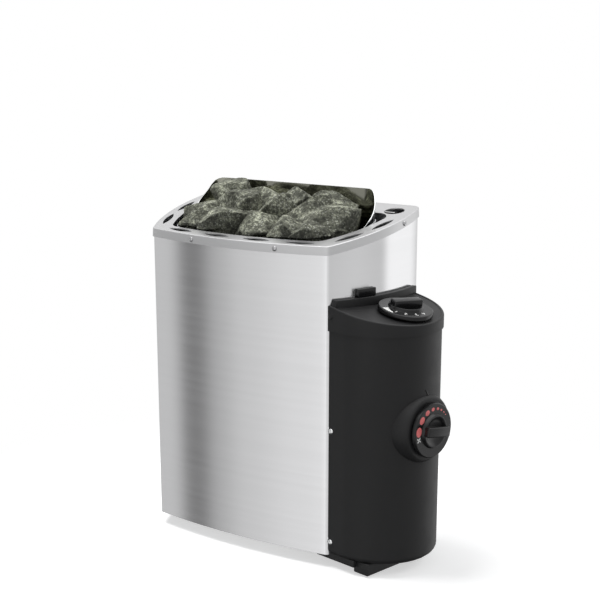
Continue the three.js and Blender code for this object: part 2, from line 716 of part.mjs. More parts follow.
const boxHousing = cut(
  boxShell,
  rod(thermoFrame, SHAFT_R + 0.4, 0, 0, 40, BOSS_FACE + 10, 20),
  rod(boxFrame, BUTTON_R + 0.1, LIMITER_PLACE[0], LIMITER_PLACE[1], -5, 10, 20),
  rod(boxFrame, GLAND_R + 0.2, GLAND_PLACE[0], GLAND_PLACE[1], -5, 10, 16),
  ...boxScrewFrames.map((frame) => rod(frame, SCREW_HOLE, 0, 0, -BOX_WALL - 4, 4, 16)),
  pipeHole,
);
addPart('box_housing', boxHousing, blackPlastic);

boxScrewFrames.forEach((frame, i) => {
  const name = i === 0 ? 'box_screw_lower' : 'box_screw_upper';
  addPart(name, screwBody(frame, BOX_SCREW_HEAD_R, 5), polishedSteel);
});

// Lid: level skirt, slanted top, raised ridge along the casing

const lidUnder = block(lidFrame, -BIG, BIG, -BIG, BIG, -BIG, 0);
const lidUnderInner = block(lidFrame, -BIG, BIG, -BIG, BIG, -BIG, -LID_WALL);
const lidColumn = shared(prism(boxFrame, boxPlan(LID_R, boxRear), LID_SKIRT_Z, COLUMN_TOP), lidUnder);
const ridgeEnd = boxFrame.clone().multiply(frameAt(-62, -LID_R, LID_SKIRT_Z + 25, X_AXIS, 0.35));
const ridge = cut(
  shared(
    prism(boxFrame, boxPlan(LID_R, boxRear), BOX_TOP + REST_GAP, RIDGE_TOP),
    casingColumn(CASING_INSET - BOX_CLEAR - RIDGE_T, 0, COLUMN_TOP),
  ),
  block(ridgeEnd, -80, 80, -60, 0, 0, 60),
);
const lidHollow = shared(
  cut(
    prism(boxFrame, boxPlan(BOX_R + LID_FIT, boxRear), LID_SKIRT_Z - 1, RIDGE_TOP),
    casingColumn(CASING_INSET - BOX_CLEAR - RIDGE_T, 0, COLUMN_TOP),
  ),
  lidUnderInner,
);
const lidSkirtRoom = prism(boxFrame, boxPlan(BOX_R + LID_FIT, boxRear), LID_SKIRT_Z - 1, BOX_TOP + LID_FIT);
const boxLid = cut(
  joined(lidColumn, ridge),
  boxKeepOut,
  lidHollow,
  lidSkirtRoom,
  rod(timerFrame, SHAFT_R + 0.4, 0, 0, -20, 20, 20),
);
addPart('box_lid', boxLid, blackPlastic);

const lidCatch = cut(
  shared(
    casingColumn(CASING_INSET - BOX_CLEAR - CATCH_T, RIDGE_TOP, RIDGE_TOP + CATCH_H),
    block(worldFrame, 100, 220, CATCH_Y[0], CATCH_Y[1], RIDGE_TOP - 1, RIDGE_TOP + CATCH_H + 1),
  ),
  boxKeepOut,
);
addPart('lid_catch', lidCatch, glossPlastic);

const boxFoot = cut(
  joined(
    block(boxFrame, FOOT_BAR.x0, FOOT_BAR.x1, FOOT_BAR.y0, FOOT_BAR.y1, -FOOT_BAR.depth, -REST_GAP),
    block(boxFrame, FOOT_PLATE.x0, FOOT_BAR.x0 + 1, FOOT_PLATE.y0, FOOT_BAR.y1, -FOOT_PLATE.depth, -REST_GAP),
  ),
  block(boxFrame, FOOT_BAR.x1 - 6, FOOT_BAR.x1 + 1, FOOT_BAR.y0 - 1, FOOT_BAR.y0 + 6, -FOOT_BAR.depth - 1, 1),
);
addPart('box_foot', boxFoot, blackPlastic);

// Knobs: disc, raised hub and a bar grip in one moulding

function knobBody(frame, lift) {
  const face = lift + KNOB_T;
  const disc = turned(frame, [[0, lift], [KNOB_R, lift], [KNOB_R, face - 1.5], [KNOB_R - 1.5, face],
    [KNOB_HUB_R + 1, face], [KNOB_HUB_R - 1, face + KNOB_HUB_RISE], [KNOB_HUB_R - 3, face + KNOB_HUB_RISE],
    [KNOB_HUB_R - 7, face + 1], [0, face + 1]], 32);
  const end = KNOB_HUB_R - 0.5;
  const gripShape = new THREE.Shape([
    [-end, 0], [end, 0], [end, KNOB_GRIP_H - 2], [end - 2, KNOB_GRIP_H],
    [2 - end, KNOB_GRIP_H], [-end, KNOB_GRIP_H - 2],
  ].map(([x, y]) => new THREE.Vector2(x, y)));
  const gripFrame = frame.clone().multiply(
    new THREE.Matrix4().makeBasis(Y_AXIS, Z_AXIS, X_AXIS).setPosition(0, 0, face - 0.5));
  const grip = prism(gripFrame, gripShape, -KNOB_GRIP_W / 2, KNOB_GRIP_W / 2);
  const bore = rod(frame, SHAFT_R + RUN_FIT, 0, 0, lift - 1, lift + SHAFT_INTO_KNOB + RUN_FIT, 20);
  return cut(joined(disc, grip), bore);
}

function shaftBody(frame, from, to) {
  return rod(frame, SHAFT_R, 0, 0, from, to, 20);
}

// Timer under the lid

const timerTop = -LID_WALL - REST_GAP;
const timerFloor = timerTop - TIMER_SIZE[2];
const timerShaftEnd = timerTop - 20;
const timerBody = cut(
  block(timerFrame, -TIMER_SIZE[0] / 2, TIMER_SIZE[0] / 2, -TIMER_SIZE[1] / 2, TIMER_SIZE[1] / 2,
    timerFloor, timerTop),
  rod(timerFrame, SHAFT_R + RUN_FIT, 0, 0, timerShaftEnd - RUN_FIT, timerTop + 1, 20),
);
addPart('timer_body', timerBody, palePlastic);
addPart('timer_shaft', shaftBody(timerFrame, timerShaftEnd, TIMER_LIFT + SHAFT_INTO_KNOB), zincSteel);
const timerKnobFrame = timerFrame.clone().multiply(frameAt(0, 0, 0, Z_AXIS, TIMER_KNOB_TURN));
addPart('timer_knob', knobBody(timerKnobFrame, TIMER_LIFT), glossPlastic);

// Thermostat behind the boss

const thermoKnobLift = BOSS_FACE + THERMO_LIFT;
const thermoTop = Math.sqrt((BOX_R - BOX_WALL) ** 2 - (THERMO_SIZE[1] / 2) ** 2) - REST_GAP;
const thermoFloor = thermoTop - THERMO_SIZE[2];
const thermoShaftEnd = thermoTop - 18;
const thermoBody = cut(
  block(thermoFrame, -THERMO_SIZE[0] / 2, THERMO_SIZE[0] / 2, -THERMO_SIZE[1] / 2, THERMO_SIZE[1] / 2,
    thermoFloor, thermoTop),
  rod(thermoFrame, SHAFT_R + RUN_FIT, 0, 0, thermoShaftEnd - RUN_FIT, thermoTop + 1, 20),
);
addPart('thermostat_body', thermoBody, zincSteel);
const thermoShaft = shaftBody(thermoFrame, thermoShaftEnd, thermoKnobLift + SHAFT_INTO_KNOB);
addPart('thermostat_shaft', thermoShaft, zincSteel);
const thermoKnobFrame = thermoFrame.clone().multiply(frameAt(0, 0, 0, Z_AXIS, THERMO_KNOB_TURN));
addPart('thermostat_knob', knobBody(thermoKnobFrame, thermoKnobLift), glossPlastic);

// Overheat limiter with its reset button through the floor of the box

const limiterFloor = BOX_WALL + BUTTON_TRAVEL + 3;
const limiterBody = cut(
  joined(
    rod(boxFrame, LIMITER_R, LIMITER_PLACE[0], LIMITER_PLACE[1], limiterFloor, limiterFloor + 26, 16),
    cut(
      rod(boxFrame, LIMITER_R, LIMITER_PLACE[0], LIMITER_PLACE[1], BOX_WALL, limiterFloor + 1, 16),
      rod(boxFrame, LIMITER_R - 3, LIMITER_PLACE[0], LIMITER_PLACE[1], BOX_WALL - 1, limiterFloor, 16),
    ),
  ),
  rod(boxFrame, 2 + RUN_FIT, LIMITER_PLACE[0], LIMITER_PLACE[1], limiterFloor - 1, limiterFloor + 12, 16),
);
addPart('limiter_body', limiterBody, palePlastic);
const limiterButton = joined(
  rod(boxFrame, BUTTON_R, LIMITER_PLACE[0], LIMITER_PLACE[1], -4, BOX_WALL + 2.5, 20),
  rod(boxFrame, 2, LIMITER_PLACE[0], LIMITER_PLACE[1], BOX_WALL + 2, limiterFloor + 7, 16),
);
addPart('limiter_button', limiterButton, redPlastic);

// Terminals and the cable inlet

const terminalBlock = cut(
  block(boxFrame, 0, 22, -60, 0, BOX_WALL, BOX_WALL + 22),
  ...[-54, -42, -30, -18, -6].map((y) => rod(boxFrame, 3, 11, y, BOX_WALL + 12, BOX_WALL + 30, 8)),
);
addPart('terminal_block', terminalBlock, palePlastic);
const cableGland = cut(
  joined(
    rod(boxFrame, GLAND_R, GLAND_PLACE[0], GLAND_PLACE[1], -16, 12, 16),
    rod(boxFrame, GLAND_R + 4, GLAND_PLACE[0], GLAND_PLACE[1], -6, -REST_GAP, 6),
    rod(boxFrame, GLAND_R + 4, GLAND_PLACE[0], GLAND_PLACE[1], BOX_WALL + REST_GAP, 8, 6),
  ),
  rod(boxFrame, GLAND_R - 3, GLAND_PLACE[0], GLAND_PLACE[1], -20, 20, 16),
);
addPart('cable_gland', cableGland, blackPlastic);

// Thermostat sensor: capillary through the casing, bulb under the collar, clip on the casing

const outward = new THREE.Vector3(0, 0, 1).transformDirection(pipeHoleFrame);
const holePoint = new THREE.Vector3(sideFace(PIPE_Y), PIPE_Y, PIPE_Z);
const bulbX = sideFace(PIPE_Y) - 13;
const pipeStart = new THREE.Vector3(-THERMO_SIZE[0] / 2 - 0.3, 0, thermoFloor + 10).applyMatrix4(thermoFrame);
const pipePoints = [
  pipeStart,
  pipeStart.clone().add(new THREE.Vector3(0, 0, 30)),
  holePoint.clone().addScaledVector(outward, 14),
  holePoint.clone().addScaledVector(outward, -8),
  new THREE.Vector3(bulbX, PIPE_Y, PIPE_Z + 24),
  new THREE.Vector3(bulbX, PIPE_Y, PIPE_Z + 60),
];
const pipePath = new THREE.CatmullRomCurve3(pipePoints, false, 'centripetal');
const pipeRing = new THREE.Path();
pipeRing.absarc(0, 0, 1, 0, Math.PI * 2, false);
const pipeBody = solid(new THREE.ExtrudeGeometry(cleanShape(pipeRing, 3), {
  steps: 20, bevelEnabled: false, extrudePath: pipePath }));
const bulb = rod(worldFrame, BULB_R, bulbX, PIPE_Y, PIPE_Z + 58, PIPE_Z + 128, 12);
addPart('thermostat_sensor', joined(pipeBody, bulb), polishedSteel);
const clipFrame = frameAt(bulbX, PIPE_Y, PIPE_Z + 94);
const casingInside = casingColumn(CASING_INSET + SHEET + REST_GAP, 0, COLUMN_TOP);
const sensorClip = cut(
  shared(block(clipFrame, -6, 20, -5, 5, -6, 6), casingInside),
  rod(clipFrame, BULB_R + REST_GAP, 0, 0, -10, 10, 12),
  block(clipFrame, -10, 0, -2.5, 2.5, -10, 10),
);
addPart('sensor_clip', sensorClip, zincSteel);

export default heater;
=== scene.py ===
"""Looks of a wall-hung electric sauna heater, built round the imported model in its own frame, in metres."""
import logging
import math
from dataclasses import dataclass, field
from enum import Enum
from random import Random
from typing import Iterable

import bmesh
import bpy
from bmesh.types import BMEdge, BMFace, BMVert
from mathutils import Matrix, Vector, noise


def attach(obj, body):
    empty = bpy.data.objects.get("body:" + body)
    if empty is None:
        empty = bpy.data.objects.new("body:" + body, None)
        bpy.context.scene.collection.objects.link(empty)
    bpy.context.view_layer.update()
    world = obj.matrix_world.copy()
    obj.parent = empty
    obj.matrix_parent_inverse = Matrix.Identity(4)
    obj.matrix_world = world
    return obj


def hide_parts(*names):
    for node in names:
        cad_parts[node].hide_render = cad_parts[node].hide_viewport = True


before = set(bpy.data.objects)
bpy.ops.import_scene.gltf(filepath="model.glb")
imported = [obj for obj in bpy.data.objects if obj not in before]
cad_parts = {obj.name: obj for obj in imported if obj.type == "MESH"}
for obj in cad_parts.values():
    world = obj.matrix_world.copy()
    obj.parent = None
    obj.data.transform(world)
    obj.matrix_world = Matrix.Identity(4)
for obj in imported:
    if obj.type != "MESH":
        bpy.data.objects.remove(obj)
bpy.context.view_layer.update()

LOG = logging.getLogger("sauna_heater")
ROOT = "heater"
MERGE = 1e-6


class Slot(Enum):
    """The record's material slots."""

    BRUSHED = "brushed_steel"
    POLISHED = "polished_steel"
    ZINC = "zinc_steel"
    BLACK = "black_plastic"
    GLOSS = "gloss_plastic"
    PALE = "pale_plastic"
    RED = "red_plastic"
    SHEATH = "element_sheath"
    STONE = "stone"


class Tree:
    """A node tree with short ways to add and join nodes."""

    def __init__(self, tree: bpy.types.NodeTree) -> None:
        """Takes hold of a tree.

        Args:
            tree: The tree of a material, a world or a node group.
        """
        self.tree = tree

    def add(self, kind: str, inputs: dict | None = None, **settings: object) -> bpy.types.Node:
        """Adds a node.

        Args:
            kind: Blender's node type.
            inputs: Socket values, or output sockets to link, by input name or number.
            settings: Attributes of the node.

        Returns:
            The new node.
        """
        node = self.tree.nodes.new(kind)
        for key, value in settings.items():
            setattr(node, key, value)
        for key, value in (inputs or {}).items():
            if isinstance(value, bpy.types.NodeSocket):
                self.tree.links.new(value, node.inputs[key])
            else:
                node.inputs[key].default_value = value
        return node

    def math(self, operation: str, first: object, second: object = 0.0) -> bpy.types.NodeSocket:
        """Adds a Math node.

        Args:
            operation: Its operation.
            first: First value or socket.
            second: Second value or socket.

        Returns:
            Its output.
        """
        return self.add("ShaderNodeMath", {0: first, 1: second}, operation=operation).outputs[0]

    def span(self, value: object, low: float, high: float, to_low: float, to_high: float) -> bpy.types.NodeSocket:
        """Adds a Map Range node.

        Args:
            value: Socket to map.
            low: Start of its range.
            high: End of its range.
            to_low: Result at the start.
            to_high: Result at the end.

        Returns:
            The mapped value.
        """
        inputs = {0: value, 1: low, 2: high, 3: to_low, 4: to_high}
        return self.add("ShaderNodeMapRange", inputs).outputs[0]

    def blend(self, mask: object, first: object, second: object) -> bpy.types.NodeSocket:
        """Mixes two colours.

        Args:
            mask: Share of the second colour.
            first: Colour or socket at 0.
            second: Colour or socket at 1.

        Returns:
            The mixed colour.
        """
        node = self.add("ShaderNodeMix", {0: mask, 6: first, 7: second}, data_type="RGBA")
        return node.outputs[2]

    def ramp(self, value: object, stops: list[tuple[float, tuple]], ease: str = "LINEAR") -> bpy.types.NodeSocket:
        """Adds a colour ramp.

        Args:
            value: Socket that runs along the ramp.
            stops: Places and colours.
            ease: Interpolation.

        Returns:
            The ramp's colour.
        """
        node = self.add("ShaderNodeValToRGB", {0: value})
        node.color_ramp.interpolation = ease
        marks = node.color_ramp.elements
        while len(marks) < len(stops):
            marks.new(0.5)
        for mark, (place, colour) in zip(marks, stops):
            mark.position = place
            mark.color = colour
        return node.outputs[0]


class Effects:
    """Shader node groups that several finishes share, each built once."""

    made: dict[str, bpy.types.NodeTree] = {}

    @classmethod
    def group(cls, name: str, inputs: dict[str, float], outputs: list[str]) -> tuple[bpy.types.NodeTree, Tree, dict]:
        """Starts a node group.

        Args:
            name: The group's name.
            inputs: Its value inputs and their defaults.
            outputs: Its value outputs.

        Returns:
            The group, its tree and its input sockets by name.
        """
        made = bpy.data.node_groups.new(name, "ShaderNodeTree")
        made.interface.new_socket("Vector", in_out="INPUT", socket_type="NodeSocketVector")
        for key, value in inputs.items():
            made.interface.new_socket(key, in_out="INPUT", socket_type="NodeSocketFloat").default_value = value
        for key in outputs:
            made.interface.new_socket(key, in_out="OUTPUT", socket_type="NodeSocketFloat")
        tree = Tree(made)
        source = tree.add("NodeGroupInput")
        cls.made[name] = made
        return made, tree, {socket.name: socket for socket in source.outputs}

    @classmethod
    def brush_grain(cls) -> bpy.types.NodeTree:
        """Level brush lines round a sheet: a height and a mask of dull streaks.

        Returns:
            The group.
        """
        if "brush_grain" in cls.made:
            return cls.made["brush_grain"]
        made, tree, sockets = cls.group("brush_grain", {"Lines": 900.0, "Length": 9.0}, ["Height", "Streaks"])
        scale = tree.add("ShaderNodeCombineXYZ", {0: sockets["Length"], 1: sockets["Length"], 2: sockets["Lines"]})
        stretched = tree.add("ShaderNodeVectorMath", {0: sockets["Vector"], 1: scale.outputs[0]}, operation="MULTIPLY")
        fine = tree.add("ShaderNodeTexNoise", {"Vector": stretched.outputs[0], "Scale": 1.0, "Detail": 3.0})
        broad = tree.add("ShaderNodeTexNoise", {"Vector": stretched.outputs[0], "Scale": 0.13, "Detail": 2.0})
        streaks = tree.span(broad.outputs[0], 0.35, 0.7, 0.0, 1.0)
        tree.add("NodeGroupOutput", {"Height": fine.outputs[0], "Streaks": streaks})
        return made

    @classmethod
    def soft_smudge(cls) -> bpy.types.NodeTree:
        """Broad faint clouds of handling and dust.

        Returns:
            The group.
        """
        if "soft_smudge" in cls.made:
            return cls.made["soft_smudge"]
        made, tree, sockets = cls.group("soft_smudge", {"Scale": 18.0}, ["Cloud"])
        cloud = tree.add("ShaderNodeTexNoise", {"Vector": sockets["Vector"], "Scale": sockets["Scale"], "Detail": 4.0})
        tree.add("NodeGroupOutput", {"Cloud": tree.span(cloud.outputs[0], 0.3, 0.7, 0.0, 1.0)})
        return made

    @classmethod
    def mould_grain(cls) -> bpy.types.NodeTree:
        """Fine pebbled skin of moulded plastic.

        Returns:
            The group.
        """
        if "mould_grain" in cls.made:
            return cls.made["mould_grain"]
        made, tree, sockets = cls.group("mould_grain", {"Scale": 1100.0}, ["Height"])
        cells = tree.add("ShaderNodeTexVoronoi", {"Vector": sockets["Vector"], "Scale": sockets["Scale"]})
        cells.feature = "SMOOTH_F1"
        tree.add("NodeGroupOutput", {"Height": cells.outputs["Distance"]})
        return made

    @classmethod
    def mineral_speckle(cls) -> bpy.types.NodeTree:
        """Grain of broken rock: crystals, pale specks and a rough height.

        Returns:
            The group.
        """
        if "mineral_speckle" in cls.made:
            return cls.made["mineral_speckle"]
        made, tree, sockets = cls.group("mineral_speckle", {"Scale": 420.0}, ["Tone", "Specks", "Height"])
        patch = tree.add("ShaderNodeTexNoise", {"Vector": sockets["Vector"], "Scale": 60.0, "Detail": 6.0, "Roughness": 0.65})
        grain = tree.add("ShaderNodeTexNoise", {"Vector": sockets["Vector"], "Scale": sockets["Scale"], "Detail": 5.0, "Roughness": 0.7})
        cells = tree.add("ShaderNodeTexVoronoi", {"Vector": sockets["Vector"], "Scale": sockets["Scale"]})
        specks = tree.span(cells.outputs["Distance"], 0.18, 0.34, 1.0, 0.0)
        rare = tree.span(patch.outputs[0], 0.4, 0.56, 0.0, 1.0)
        broad = tree.add("ShaderNodeTexNoise", {"Vector": sockets["Vector"], "Scale": 17.0, "Detail": 1.0})
        shade = tree.math("ADD", tree.math("MULTIPLY", patch.outputs[0], 0.42), tree.math("MULTIPLY", broad.outputs[0], 0.13))
        tone = tree.math("ADD", shade, tree.math("MULTIPLY", grain.outputs[0], 0.45))
        height = tree.math("ADD", tree.math("MULTIPLY", grain.outputs[0], 0.6), patch.outputs[0])
        tree.add("NodeGroupOutput", {"Tone": tone, "Specks": tree.math("MULTIPLY", specks, rare), "Height": height})
        return made


@dataclass(frozen=True)
class Finish:
    """A surface finish, turned into one material."""

    name: str
    colour: tuple[float, float, float]
    roughness: float

    def start(self) -> tuple[bpy.types.Material, Tree, bpy.types.Node, bpy.types.NodeSocket]:
        """Makes an empty material with its shader.

        Returns:
            The material, its tree, its shader and the piece's own coordinates.
        """
        made = bpy.data.materials.new(self.name)
        made.use_nodes = True
        made.node_tree.nodes.clear()
        tree = Tree(made.node_tree)
        shader = tree.add("ShaderNodeBsdfPrincipled")
        shader.inputs["Base Color"].default_value = (*self.colour, 1.0)
        shader.inputs["Roughness"].default_value = self.roughness
        tree.add("ShaderNodeOutputMaterial", {"Surface": shader.outputs[0]})
        place = tree.add("ShaderNodeTexCoord").outputs["Object"]
        return made, tree, shader, place

    def use(self, tree: Tree, group: bpy.types.NodeTree, place: bpy.types.NodeSocket, **values: float) -> bpy.types.Node:
        """Places a shared effect in a material.

        Args:
            tree: The material's tree.
            group: The effect.
            place: Coordinates that it reads.
            values: Its inputs.

        Returns:
            The group node.
        """
        node = tree.add("ShaderNodeGroup", node_tree=group)
        tree.tree.links.new(place, node.inputs["Vector"])
        for key, value in values.items():
            node.inputs[key].default_value = value
        return node

    def tint(self, factor: float) -> tuple[float, float, float, float]:
        """Gives the finish's colour made lighter or darker."""
        return (*(min(1.0, part * factor) for part in self.colour), 1.0)

    def bump(self, tree: Tree, shader: bpy.types.Node, height: bpy.types.NodeSocket, strength: float, depth: float) -> None:
        """Lets a height bend the shading.

        Args:
            tree: The material's tree.
            shader: Its shader.
            height: Height from 0 to 1.
            strength: Share of the effect.
            depth: Height in metres.
        """
        node = tree.add("ShaderNodeBump", {"Strength": strength, "Distance": depth, "Height": height})
        tree.tree.links.new(node.outputs[0], shader.inputs["Normal"])

    def build(self) -> bpy.types.Material:
        """Makes the material.

        Returns:
            The material.
        """
        raise NotImplementedError


@dataclass(frozen=True)
class SheetMetal(Finish):
    """Metal sheet with brush lines, streaks and faint smudges."""

    grain: float = 0.1
    lines: float = 900.0
    smudge: float = 0.015
    metal: float = 1.0

    def build(self) -> bpy.types.Material:
        """Makes the material.

        Returns:
            The material.
        """
        made, tree, shader, place = self.start()
        shader.inputs["Metallic"].default_value = self.metal
        brush = self.use(tree, Effects.brush_grain(), place, Lines=self.lines)
        cloud = self.use(tree, Effects.soft_smudge(), place, Scale=14.0)
        colour = tree.blend(brush.outputs["Streaks"], self.tint(0.985), self.tint(1.01))
        rough = tree.math("ADD", tree.math("MULTIPLY", brush.outputs["Streaks"], 0.5), tree.math("MULTIPLY", cloud.outputs["Cloud"], 0.5))
        rough = tree.span(rough, 0.0, 1.0, self.roughness - self.smudge, self.roughness + self.smudge)
        tree.tree.links.new(colour, shader.inputs["Base Color"])
        tree.tree.links.new(rough, shader.inputs["Roughness"])
        self.bump(tree, shader, brush.outputs["Height"], self.grain, 0.0002)
        return made


@dataclass(frozen=True)
class ZincSheet(Finish):
    """Zinc-coated steel with large pale crystals."""

    def build(self) -> bpy.types.Material:
        """Makes the material.

        Returns:
            The material.
        """
        made, tree, shader, place = self.start()
        shader.inputs["Metallic"].default_value = 1.0
        crystals = tree.add("ShaderNodeTexVoronoi", {"Vector": place, "Scale": 140.0})
        shade = tree.add("ShaderNodeSeparateColor", {0: crystals.outputs["Color"]}).outputs[0]
        cloud = self.use(tree, Effects.soft_smudge(), place, Scale=25.0)
        colour = tree.blend(shade, self.tint(0.82), self.tint(1.12))
        rough = tree.math("ADD", tree.math("MULTIPLY", shade, 0.14), tree.math("MULTIPLY", cloud.outputs["Cloud"], 0.12))
        tree.tree.links.new(colour, shader.inputs["Base Color"])
        tree.tree.links.new(tree.math("ADD", rough, self.roughness - 0.12), shader.inputs["Roughness"])
        self.bump(tree, shader, shade, 0.05, 0.0003)
        return made


@dataclass(frozen=True)
class Moulded(Finish):
    """Moulded plastic with a fine skin and faint scuffs."""

    grain: float = 0.12
    scale: float = 1100.0
    shine: float = 0.5

    def build(self) -> bpy.types.Material:
        """Makes the material.

        Returns:
            The material.
        """
        made, tree, shader, place = self.start()
        shader.inputs["Specular IOR Level"].default_value = self.shine
        skin = self.use(tree, Effects.mould_grain(), place, Scale=self.scale)
        cloud = self.use(tree, Effects.soft_smudge(), place, Scale=30.0)
        colour = tree.blend(cloud.outputs["Cloud"], self.tint(0.9), self.tint(1.12))
        rough = tree.span(cloud.outputs["Cloud"], 0.0, 1.0, self.roughness - 0.05, self.roughness + 0.06)
        tree.tree.links.new(colour, shader.inputs["Base Color"])
        tree.tree.links.new(rough, shader.inputs["Roughness"])
        self.bump(tree, shader, skin.outputs["Height"], self.grain, 0.00025)
        return made


@dataclass(frozen=True)
class HeatedSheath(Finish):
    """Steel sheath darkened and blued by heat."""

    def build(self) -> bpy.types.Material:
        """Makes the material.

        Returns:
            The material.
        """
        made, tree, shader, place = self.start()
        shader.inputs["Metallic"].default_value = 1.0
        cloud = self.use(tree, Effects.soft_smudge(), place, Scale=60.0)
        grain = self.use(tree, Effects.mould_grain(), place, Scale=900.0)
        warm = (self.colour[0] * 1.3, self.colour[1] * 0.95, self.colour[2] * 0.7, 1.0)
        tree.tree.links.new(tree.blend(cloud.outputs["Cloud"], self.tint(0.8), warm), shader.inputs["Base Color"])
        rough = tree.span(cloud.outputs["Cloud"], 0.0, 1.0, self.roughness - 0.1, self.roughness + 0.1)
        tree.tree.links.new(rough, shader.inputs["Roughness"])
        self.bump(tree, shader, grain.outputs["Height"], 0.15, 0.0003)
        return made


@dataclass(frozen=True)
class BrokenRock(Finish):
    """Broken dark rock with crystals and pale specks."""

    def build(self) -> bpy.types.Material:
        """Makes the material.

        Returns:
            The material.
        """
        made, tree, shader, place = self.start()
        grain = self.use(tree, Effects.mineral_speckle(), place, Scale=300.0)
        stops = [(0.36, self.tint(0.15)), (0.46, self.tint(0.55)), (0.53, self.tint(1.5)), (0.6, self.tint(5.2))]
        colour = tree.ramp(grain.outputs["Tone"], stops)
        pale = (0.46, 0.47, 0.42, 1.0)
        colour = tree.blend(tree.math("MULTIPLY", grain.outputs["Specks"], 0.8), colour, pale)
        rough = tree.span(grain.outputs["Tone"], 0.3, 0.7, self.roughness + 0.08, self.roughness - 0.12)
        tree.tree.links.new(colour, shader.inputs["Base Color"])
        tree.tree.links.new(rough, shader.inputs["Roughness"])
        self.bump(tree, shader, grain.outputs["Height"], 0.7, 0.0016)
        return made


FINISHES: dict[Slot, Finish] = {
    Slot.BRUSHED: SheetMetal("brushed_sheet", (0.79, 0.79, 0.8), 0.125),
    Slot.POLISHED: SheetMetal("polished_sheet", (0.83, 0.84, 0.84), 0.1, grain=0.02, smudge=0.02),
    Slot.ZINC: ZincSheet("zinc_sheet", (0.62, 0.63, 0.64), 0.4),
    Slot.BLACK: Moulded("matt_black_moulding", (0.0145, 0.0145, 0.015), 0.48, shine=0.33),
    Slot.GLOSS: Moulded("smooth_black_moulding", (0.007, 0.007, 0.0075), 0.22, grain=0.03, scale=1600.0, shine=0.4),
    Slot.PALE: Moulded("pale_moulding", (0.75, 0.73, 0.68), 0.45),
    Slot.RED: Moulded("red_moulding", (0.6, 0.06, 0.05), 0.35),
    Slot.SHEATH: HeatedSheath("heated_sheath", (0.29, 0.28, 0.27), 0.45),
    Slot.STONE: BrokenRock("broken_rock", (0.096, 0.099, 0.077), 0.8),
}
MARK_WHITE = Moulded("white_mark", (0.82, 0.82, 0.8), 0.45, grain=0.02)
MARK_RED = Moulded("red_mark", (1.0, 0.22, 0.215), 0.4, grain=0.02)
COLLAR_SATIN = SheetMetal("collar_satin", (0.66, 0.66, 0.665), 0.33, metal=0.75)
SCREW_ZINC = SheetMetal("screw_zinc", (0.5, 0.5, 0.51), 0.24, grain=0.02)
# Inner face of the guard: steel darkened and tinted like the stones, a painted reflection of the shaded stones, not a
# real stain.
GUARD_PAINTED_REFLECTION = SheetMetal("guard_painted_stone_reflection", (0.29, 0.29, 0.245), 0.1, grain=0.01)


class Paints:
    """Materials made from the finishes, each once."""

    made: dict[str, bpy.types.Material] = {}

    @classmethod
    def get(cls, finish: Finish) -> bpy.types.Material:
        """Gives the material of a finish.

        Args:
            finish: The finish.

        Returns:
            Its material.
        """
        if finish.name not in cls.made:
            cls.made[finish.name] = finish.build()
        return cls.made[finish.name]


